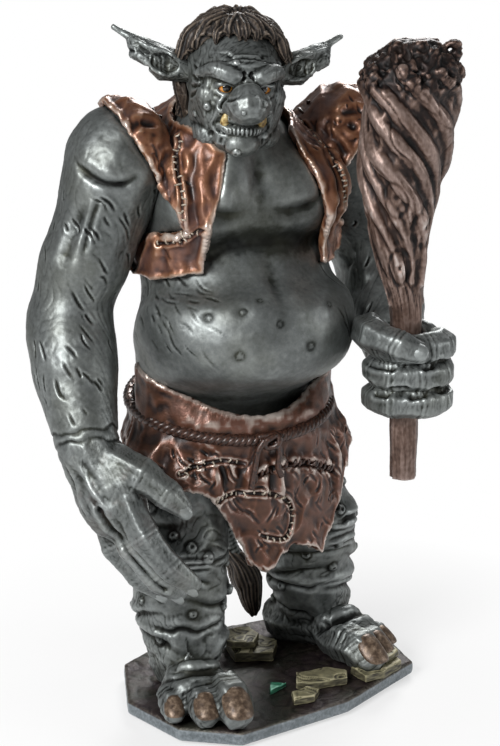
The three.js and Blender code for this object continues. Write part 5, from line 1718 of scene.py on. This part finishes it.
def apron(name, crumple, seed):
    """An apron with its folds, rags, patches and stitches."""
    clay = Clay(f"{name}_hide", [name], 0.6, swell=0.12)
    clay.smooth(8)
    chance = random.Random(60 + seed)
    out = clay.at - HUB
    out[:, 2] = 0
    out /= np.linalg.norm(out, axis=1)[:, None]
    if name == "front_apron":
        # The top edge is pulled up through the belt, under the belly
        clay.at[:, 2] += 1.5 * np.maximum(clay.at[:, 2] - 128, 0)
        clay.at -= 9 * out * (eased(clay.at[:, 2], 136, 156) * eased(-clay.at[:, 1], 8, 28))[:, None]
    clay.settle()
    facing = (out * clay.normals).sum(axis=1)
    edge = rim_gap(clay, facing)
    clay.worked = eased(facing, 0.0, 0.6)
    below = 1 - eased(clay.at[:, 2], 126, 134)
    crumpled(clay, out * below[:, None], crumple, seed, (13, 13, 17), (0.7, 1.0, 1.0))
    look = AHEAD if name == "front_apron" else BEHIND
    # Folds hang from the belt, and wrinkles run between them
    for i in range(11):
        x = -66 + 10.5 * i + chance.uniform(-2, 2)
        foot = x + 0.12 * (x - MIDDLE) + chance.uniform(-5, 5)
        fold = ((x, 126), ((x + foot) / 2 + chance.uniform(-3, 3), 112), (foot, chance.uniform(84, 100)))
        fold = clay.traced(fold, 20, look)
        if len(fold) > 6:
            clay.crease(fold, chance.uniform(1.8, 2.8), chance.uniform(0.9, 1.5), 0.9, 3)
    clay.settle()
    face_on = (facing > 0.75) & (edge > 2.5) & (clay.at[:, 2] < 126)
    gashes(clay, chance, 44, (0.7, 0, -0.7), face_on, (5, 13), 0.75)
    gashes(clay, chance, 30, (-0.5, 0, -0.8), face_on, (4, 11), 0.7)
    clay.settle()
    lines = {kind: [clay.traced(seam, 30, look) for seam in seams] for kind, seams in APRON_SEAMS[name].items()}
    for seam in lines["whipped"]:
        clay.fold(seam, 1.2, 1.4, 0.8, fade=20)
    for seam in lines["sewn"]:
        clay.crease(seam, 0.8, 1.0, 0.5, 0)
    clay.worked = np.ones(len(clay.at))
    clay.settle()
    ragged(clay, facing, edge, 0.6)
    # Painted shade under the belly: the apron's top loses its bright rubbed edge, and its edge is painted darker
    waist = eased(clay.at[:, 2], 124, 132)
    clay.wear = clay.wear * (1 - waist) - 0.2 * waist * bell(edge, 2)
    # The hem hangs in rags
    hem = bell(edge, 3.5) * (1 - eased(clay.at[:, 2], 108, 122))
    flat = clay.at * (1, 1, 0)
    clay.at[:, 2] += hem * (3.0 * grain(flat, 4.5, seed) + 1.2 * grain(flat, 1.8, seed + 1))
    clay.settle()
    clay.shine = 0.8
    for seam in lines["whipped"]:
        far, _ = apart(clay.at, seam + (0, 0, -2.2))
        clay.wear += 0.3 * bell(far, 1.1)
    made = clay.finish(smoked_hide(), "hide", [name])
    whipped = stitches(f"{name}_whipping", [made.data], lines["whipped"], 2.9, 5.4, 0.75, 0.9)
    finished(whipped, waxed_thong())
    sewn = stitches(f"{name}_stitches", [made.data], lines["sewn"], 3.0, 3.4, 0.42, 0.55)
    finished(sewn, pale_sinew())


# The knot's lines, measured from the front of the belt: the loop, then the two hanging ends
KNOT = (
    (50, (
        (5.5, -1, 1), (2.5, -4.2, 2.4), (-2.5, -4.4, 0), (-1, -3, -3), (3, -4.8, -2), (3.6, -4.4, 2),
        (-4.5, -1, 1.5),
    )),
    (30, ((-2.5, -4.2, 1), (-5.5, -3.6, -4), (-7, -3.2, -12), (-8.5, -2.8, -21))),
    (30, ((2.5, -4.6, 0), (4.5, -4.0, -5), (4.2, -3.4, -12), (6, -3.2, -17))),
)


def belt():
    """A rope of three twisted thongs, knotted in front with two hanging ends."""
    points = np.array([v.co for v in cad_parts["rope_belt"].data.vertices]) / MM
    angles = np.arctan2(points[:, 0] - HUB[0], -(points[:, 1] - HUB[1]))
    middle = []
    for turn in np.linspace(-math.pi, math.pi, 36, endpoint=False):
        near = np.cos(angles - turn) > math.cos(0.2)
        out = np.array((math.sin(turn), -math.cos(turn), 0))
        far = ((points[near] - HUB) @ out).mean()
        middle.append((*(HUB[:2] + out[:2] * (far - 0.4)), points[near][:, 2].mean()))
    middle = np.array(middle)
    for _ in range(3):
        middle = 0.5 * middle + 0.25 * (np.roll(middle, 1, axis=0) + np.roll(middle, -1, axis=0))
    count, twists, lay, thick = 420, 30, 1.35, 1.55
    steps = np.linspace(0, len(middle), count, endpoint=False)
    i = steps.astype(int) % len(middle)
    t = (steps - steps.astype(int))[:, None]
    line = middle[i] * (1 - t) + middle[(i + 1) % len(middle)] * t
    along = np.roll(line, -1, axis=0) - np.roll(line, 1, axis=0)
    side = np.cross(along, (0, 0, 1))
    side /= np.linalg.norm(side, axis=1)[:, None]
    rise = np.cross(side, along)
    rise /= np.linalg.norm(rise, axis=1)[:, None]
    strands = []
    for strand in range(3):
        turn = np.arange(count) / count * 2 * math.pi * twists + strand * 2 * math.pi / 3
        strands.append(line + lay * (np.cos(turn)[:, None] * side + np.sin(turn)[:, None] * rise))
    rope = thongs("twisted_belt", strands, thick, closed=True)
    finished(rope, waxed_thong(), ["rope_belt"])
    front = line[np.argmin(line[:, 1])]
    knot = [drawn(front + points, count) for count, points in KNOT]
    finished(thongs("belt_knot", knot, 1.4), waxed_thong())


# Club


def club_share(height):
    """How far up the root wood a height in the grip's frame is, from 0 at the handle's top to 1 at the crown."""
    return (height - HANDLE_TOP) / (CROWN - HANDLE_TOP)


def club_bend(share):
    """How far the root wood bends off the grip's axis."""
    return -3 * np.sin(4.2 * share), 2.5 * np.sin(3 * share)


def root_strands(chance):
    """Thick strands of root that wind down from the burr, straighten and sink into the handle."""
    wood = body_tree("club")
    burr_foot = 128
    rods = []
    for i in range(9):
        turn = i * 2 * math.pi / 9 + chance.uniform(-0.15, 0.15)
        path, radii = [], []
        thick = chance.uniform(3.0, 5.4)
        low = chance.uniform(26, 44)
        for share in np.linspace(0, 1, 16):
            z = burr_foot - (burr_foot - low) * share
            wound = turn + WINDING * (1 - (1 - share) ** 1.5) + 0.16 * math.sin(7 * share + i)
            hub = np.array((*club_bend(club_share(z)), z))
            ray = np.array((math.cos(wound), math.sin(wound), 0))
            centre = out_of(GRIP, hub)
            out = out_of(GRIP, hub + ray) - centre
            hit = wood.ray_cast(Vector(centre + 40 * out) * MM, Vector(-out))[0]
            swell = 0.55 + 0.6 * math.sin(math.pi * min(share * 1.25, 1) * 0.8 + 0.3)
            radius = max(thick * swell * (1 - 0.55 * share), 1.1)
            path.append(np.array(hit) / MM - out * radius * 0.5)
            radii.append(radius)
        rods.append((np.array(path), radii))
    # The hooked splinter at the crown
    hook = out_of(GRIP, [(9, -2, 126), (15, -3, 131), (19, -4, 136), (17, -5, 139), (13, -4, 136.5)])
    rods.append((hook, (3.2, 2.6, 2.2, 1.9, 1.4)))
    return rods


# Each knot's height and turn in the grip's frame, and its size
CLUB_KNOTS = ((46, -1.9, 3.6), (62, -0.9, 4.4), (74, -2.2, 4.0), (56, 1.4, 4), (88, 0.9, 4.5), (70, 2.8, 4))


def club(depth):
    """The club: strands of root wood that wind up to a porous burr."""
    clay = Clay("club_wood", ["club"], 0.62, rods=root_strands(random.Random(41)), swell=-0.7)
    clay.smooth(8)
    local = into(GRIP, clay.at)
    height = local[:, 2]
    share = np.clip(club_share(height), 0, 1)
    x, y = club_bend(share)
    twist = np.arctan2(local[:, 1] - y, local[:, 0] - x) + WINDING * share**1.5
    free = eased(height, HANDLE_TOP, HANDLE_TOP + 12)
    # Fibres run along the strands: noise round the twisted girth, drawn out along the height
    for seed, girth, length, cut, sharp in ((1, 4.2, 34, 0.4, 0.4), (2, 2.2, 22, 0.12, 0.4)):
        cells = np.column_stack([np.cos(twist) * 15 / girth, np.sin(twist) * 15 / girth, height / length])
        cells += 0.5 * grain(clay.at, 13, seed + 4)[:, None]
        clay.push(-cut * depth * (0.3 + 0.7 * free) * cracks(grain(cells, 1, seed), sharp))
    clay.settle()
    # Knots on the lower half: each a swelling with a hollow heart and a groove round it
    for z, turn, size in CLUB_KNOTS:
        spot = clay.snapped(out_of(GRIP, (math.cos(turn) * 22, math.sin(turn) * 22, z)))[0]
        far = np.linalg.norm((clay.at - spot) / (size, size, 1.7 * size), axis=1)
        clay.push(1.1 * bell(far, 0.8) - 1.3 * bell(far, 0.28) - 0.5 * bell(far, 0.22, 1.3))
    clay.settle()
    # The burr: knobs with deep pores between them
    burr = eased(height + 3 * grain(clay.at, 9, 3), 116, 124)
    cells = (clay.at / (5.2, 5.2, 4.4) + 0.35 * grain(clay.at, 4, 8)[:, None]).tolist()
    pores = np.array([noise.voronoi(cell, distance_metric="DISTANCE")[0][0] for cell in cells])
    clay.push(burr * (1.3 + 1.3 * grain(clay.at, 9, 12) - 2.6 * bell(pores, 0.34)))
    clay.wear -= 0.3 * burr
    clay.settle()
    clay.push(-burr * 0.5 * cracks(grain(clay.at, 3.6, 6), 0.35))
    uneven(clay, ((14, 0.4), (5, 0.15), (1.6, 0.08)), 9)
    # The part that slides through the fist keeps inside the CAD handle, which is thinnest at its end
    end_radius, widening, inset = 6.8, 1.2, 0.12
    local = into(GRIP, clay.at)
    out = np.hypot(local[:, 0], local[:, 1])
    length = HANDLE_TOP - HANDLE_END
    most = end_radius + np.clip(local[:, 2] - HANDLE_END, 0, length) * widening / length - inset
    held = (local[:, 2] < HANDLE_TOP + 2) & (out > most)
    local[held, :2] *= (most / np.maximum(out, 1e-6))[held, None]
    local[:, 2] = np.clip(local[:, 2], HANDLE_END + 0.1, CROWN + 0.4)
    clay.at = out_of(GRIP, local)
    clay.shine = 0.6
    clay.finish(weathered_wood(), "wood", ["club"], "club")


# Base


STONES = (
    "flagstone_edge", "flagstone_edge_upper", "flagstone_front", "flagstone_front_small", "flagstone_middle",
    "flagstone_middle_upper", "green_shard",
)


def stone(name, seed):
    """A flat stone, split in layers and flaked on top."""
    clay = Clay(f"{name}_slate", [name], 0.5, swell=0.0)
    clay.smooth(3)
    low = clay.at[:, 2].min()
    # Split layers: the top steps down in flakes, and the sides are cut back unevenly between the layers
    top = eased(clay.normals[:, 2], 0.5, 0.9)
    sides = 1 - eased(np.abs(clay.normals[:, 2]), 0.3, 0.8)
    flakes = grain(clay.at, (7, 7, 3), seed)
    clay.push(-top * 0.45 * (eased(flakes, 0.0, 0.06) + eased(flakes, 0.25, 0.31)))
    layer = np.floor((clay.at[:, 2] - low) / 1.3)
    cells = np.column_stack([clay.at[:, :2], layer * 9])
    clay.push(-sides * (0.35 * (1 + grain(cells, 4, seed))))
    clay.settle()
    clay.push(-0.12 * cracks(grain(clay.at, (9, 9, 4), seed + 3), 0.2))
    uneven(clay, ((6, 0.35), (2.5, 0.1)), seed)
    clay.shine = 0.4
    # The upward faces are painted paler
    clay.wear += 0.14 * top
    clay.at[:, 2] = np.maximum(clay.at[:, 2], low)
    material = green_slate() if name == "green_shard" else olive_slate()
    slot = "green_stone" if name == "green_shard" else "stone"
    clay.finish(material, slot, [name])


def slab():
    """The cast slab: trodden earth on top, and unevenly cut sides."""
    clay = Clay("cast_slab", ["base_slab"], 1.0, swell=0.0)
    clay.smooth(4)
    low = clay.at[:, 2].min()
    top = eased(clay.normals[:, 2], 0.6, 0.95)
    sides = 1 - eased(np.abs(clay.normals[:, 2]), 0.3, 0.9)
    earth = 0.5 * grain(clay.at, 9, 1) + 0.35 * grain(clay.at, 3.5, 2) - 0.6 * cracks(grain(clay.at, 11, 3), 0.12)
    clay.push(top * np.minimum(earth - 0.25, 0.25))
    clay.push(-sides * (0.35 + 0.35 * grain(clay.at, (9, 9, 3), 5) + 0.12 * grain(clay.at, 2.5, 6)))
    clay.at[:, 2] = np.maximum(clay.at[:, 2], low)
    clay.finish(trodden_slab(), "slab", ["base_slab"])


# Stage


def put(name, data, matrix):
    """A lamp or camera, put in its place."""
    holder = linked(name, data)
    holder.matrix_world = matrix
    return holder


def studio():
    """A white floor and room, three soft lamps and the photo's camera."""
    scene = bpy.context.scene
    scene.view_settings.view_transform = "Standard"
    floor = bmesh.new()
    bmesh.ops.create_grid(floor, x_segments=8, y_segments=8, size=3)
    ground = from_bmesh("studio_floor", floor)
    # White paper that takes the shadow near the slab and burns out to plain white further off
    material = bpy.data.materials.new("white_floor")
    tree = empty_tree(material)
    paint = add(tree, "ShaderNodeBsdfDiffuse", {"Color": (0.85, 0.85, 0.85, 1)})
    glow = add(tree, "ShaderNodeEmission", {"Color": (1, 1, 1, 1), "Strength": 1.0})
    place = add(tree, "ShaderNodeTexCoord").outputs["Object"]
    far = add(tree, "ShaderNodeVectorMath", {0: place}, operation="LENGTH").outputs["Value"]
    ray = add(tree, "ShaderNodeLightPath").outputs["Is Camera Ray"]
    share = worked_out(tree, "MULTIPLY", ranged(tree, far, 0.6, 1.0, 0.09, 0.22), ray)
    paper = add(tree, "ShaderNodeMixShader", {0: share, 1: paint.outputs[0], 2: glow.outputs[0]})
    add(tree, "ShaderNodeOutputMaterial", {"Surface": paper.outputs[0]})
    ground.data.materials.append(material)
    # The room is dim to the piece and plain white to the camera
    world = bpy.data.worlds.new("white_studio")
    tree = empty_tree(world)
    ray = add(tree, "ShaderNodeLightPath").outputs
    seen = worked_out(tree, "MAXIMUM", ray["Is Camera Ray"], ray["Is Transmission Ray"])
    links = {"Color": (1, 1, 1, 1), "Strength": ranged(tree, seen, 0.22, 1.0)}
    light = add(tree, "ShaderNodeBackground", links)
    add(tree, "ShaderNodeOutputWorld", {"Surface": light.outputs[0]})
    scene.world = world
    middle = Vector((-5, 0, 150)) * MM
    lamps = (
        ("key_softbox", (-1.0, -0.6, 0.8), 0.45, 18.0),
        ("fill_softbox", (0.9, -0.6, 0.3), 0.5, 3.0),
        ("back_softbox", (0.6, 0.85, 0.8), 0.5, 9.0),
    )
    for name, place, size, power in lamps:
        lamp = bpy.data.lights.new(name, "AREA")
        lamp.size = size
        lamp.energy = power
        away = Vector((0, 0, 1)).rotation_difference(Vector(place) - middle).to_matrix().to_4x4()
        put(name, lamp, Matrix.Translation(place) @ away)
    camera = bpy.data.cameras.new("camera")
    camera.sensor_fit = "VERTICAL"
    camera.sensor_height = 36
    camera.lens = 97.1
    camera.clip_end = 10
    azimuth, elevation, distance = math.radians(-25), math.radians(15), 0.9
    level = math.cos(elevation)
    back = Vector((math.sin(azimuth) * level, -math.cos(azimuth) * level, math.sin(elevation)))
    aim = Vector((-6.1, 2.9, 150.8)) * MM
    turn = (-back).to_track_quat("-Z", "Y").to_matrix().to_4x4()
    scene.camera = put("camera", camera, Matrix.Translation(aim + distance * back) @ turn)


# The add-on


class TrollForm(bpy.types.PropertyGroup):
    """How deeply the casting is modelled."""

    wrinkles: FloatProperty(
        name="Wrinkles", description="Depth of the skin's wrinkles, as a share of the usual",
        default=1.0, min=0, max=2, subtype="FACTOR",
    )
    crumple: FloatProperty(
        name="Crumple", description="Depth of the hides' folds, as a share of the usual",
        default=1.0, min=0, max=2, subtype="FACTOR",
    )
    strands: FloatProperty(
        name="Strands", description="Depth of the hair's strands, as a share of the usual",
        default=1.0, min=0, max=2, subtype="FACTOR",
    )
    bark: FloatProperty(
        name="Bark", description="Depth of the club's furrows, as a share of the usual",
        default=1.0, min=0, max=2, subtype="FACTOR",
    )


class TrollFinish(bpy.types.PropertyGroup):
    """The middle colour of each painted finish."""

    skin: FloatVectorProperty(
        name="Skin", description="Pewter skin between its wash and its worn parts",
        default=linear("#6d7170"), size=3, min=0, max=1, subtype="COLOR",
    )
    hide: FloatVectorProperty(
        name="Hide", description="Coppered hide between its folds and its ridges",
        default=linear("#6d452f"), size=3, min=0, max=1, subtype="COLOR",
    )
    wood: FloatVectorProperty(
        name="Wood", description="Club between its furrows and its worn strands",
        default=linear("#5c4940"), size=3, min=0, max=1, subtype="COLOR",
    )


class TROLL_OT_body(bpy.types.Operator):
    """Models the trunk, legs, arms, hands and tail"""

    bl_idname = "troll.body"
    bl_label = "Body"

    def execute(self, context):
        depth = context.scene.troll_form.wrinkles
        skin_trunk(depth)
        for name in SIDES:
            skin_leg(name, depth)
        skin_right_arm(depth)
        skin_left_arm(depth)
        skin_tail(depth)
        return {"FINISHED"}


class TROLL_OT_head(bpy.types.Operator):
    """Models the head, ears, eyes, teeth and tusks"""

    bl_idname = "troll.head"
    bl_label = "Head"

    def execute(self, context):
        depth = context.scene.troll_form.wrinkles
        skin_head(depth)
        for name in SIDES:
            skin_ear(name, depth)
            eyeball(name)
            tusk(name)
        peg_teeth()
        return {"FINISHED"}


class TROLL_OT_nails(bpy.types.Operator):
    """Makes the toes' and fingers' nails"""

    bl_idname = "troll.nails"
    bl_label = "Nails"

    def execute(self, context):
        for name in SIDES:
            toe_nails(name)
        hand_nails()
        return {"FINISHED"}


class TROLL_OT_hair(bpy.types.Operator):
    """Models the mane and the tail's tuft"""

    bl_idname = "troll.hair"
    bl_label = "Hair"

    def execute(self, context):
        depth = context.scene.troll_form.strands
        mane(depth)
        tuft(depth)
        return {"FINISHED"}


class TROLL_OT_waistcoat(bpy.types.Operator):
    """Models the hide waistcoat and its stitching"""

    bl_idname = "troll.waistcoat"
    bl_label = "Waistcoat"

    def execute(self, context):
        waistcoat(context.scene.troll_form.crumple)
        return {"FINISHED"}


class TROLL_OT_aprons(bpy.types.Operator):
    """Models the two aprons, their stitching and the twisted belt"""

    bl_idname = "troll.aprons"
    bl_label = "Aprons and belt"

    def execute(self, context):
        depth = context.scene.troll_form.crumple
        apron("front_apron", depth, 5)
        apron("back_apron", depth, 8)
        belt()
        return {"FINISHED"}


class TROLL_OT_club(bpy.types.Operator):
    """Models the gnarled club"""

    bl_idname = "troll.club"
    bl_label = "Club"

    def execute(self, context):
        club(context.scene.troll_form.bark)
        return {"FINISHED"}


class TROLL_OT_base(bpy.types.Operator):
    """Models the slab and its stones, and finishes the felt, screws and dowels"""

    bl_idname = "troll.base"
    bl_label = "Base"

    def execute(self, context):
        slab()
        for seed, name in enumerate(STONES):
            stone(name, seed)
        for name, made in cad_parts.items():
            if name.endswith(("_dowel", "_screw")) or name == "felt_pad":
                made.data.materials.clear()
                made.data.materials.append(pressed_felt() if name == "felt_pad" else zinc_steel())
        return {"FINISHED"}


class TROLL_OT_stage(bpy.types.Operator):
    """Sets up the floor, lamps, background and camera"""

    bl_idname = "troll.stage"
    bl_label = "Stage"

    def execute(self, context):
        studio()
        return {"FINISHED"}


OPERATORS = (
    TROLL_OT_stage, TROLL_OT_body, TROLL_OT_head, TROLL_OT_nails, TROLL_OT_hair, TROLL_OT_waistcoat,
    TROLL_OT_aprons, TROLL_OT_club, TROLL_OT_base,
)


class TROLL_PT_panel(bpy.types.Panel):
    """Lists the statuette's settings and the steps that make it"""

    bl_idname = "TROLL_PT_panel"
    bl_label = "Troll statuette"
    bl_space_type = "VIEW_3D"
    bl_region_type = "UI"
    bl_category = "Troll"

    def draw(self, context):
        for settings in (context.scene.troll_form, context.scene.troll_finish):
            for name in settings.__annotations__:
                self.layout.prop(settings, name)
        for operator in OPERATORS:
            self.layout.operator(operator.bl_idname)


CLASSES = (TrollForm, TrollFinish, *OPERATORS, TROLL_PT_panel)


def register():
    for kind in CLASSES:
        bpy.utils.register_class(kind)
    bpy.types.Scene.troll_form = PointerProperty(type=TrollForm)
    bpy.types.Scene.troll_finish = PointerProperty(type=TrollFinish)


def unregister():
    del bpy.types.Scene.troll_finish
    del bpy.types.Scene.troll_form
    for kind in reversed(CLASSES):
        bpy.utils.unregister_class(kind)


def main():
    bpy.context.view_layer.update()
    register()
    for operator in OPERATORS:
        getattr(bpy.ops.troll, operator.bl_idname.split(".")[1])()


if __name__ == "__main__":
    main()
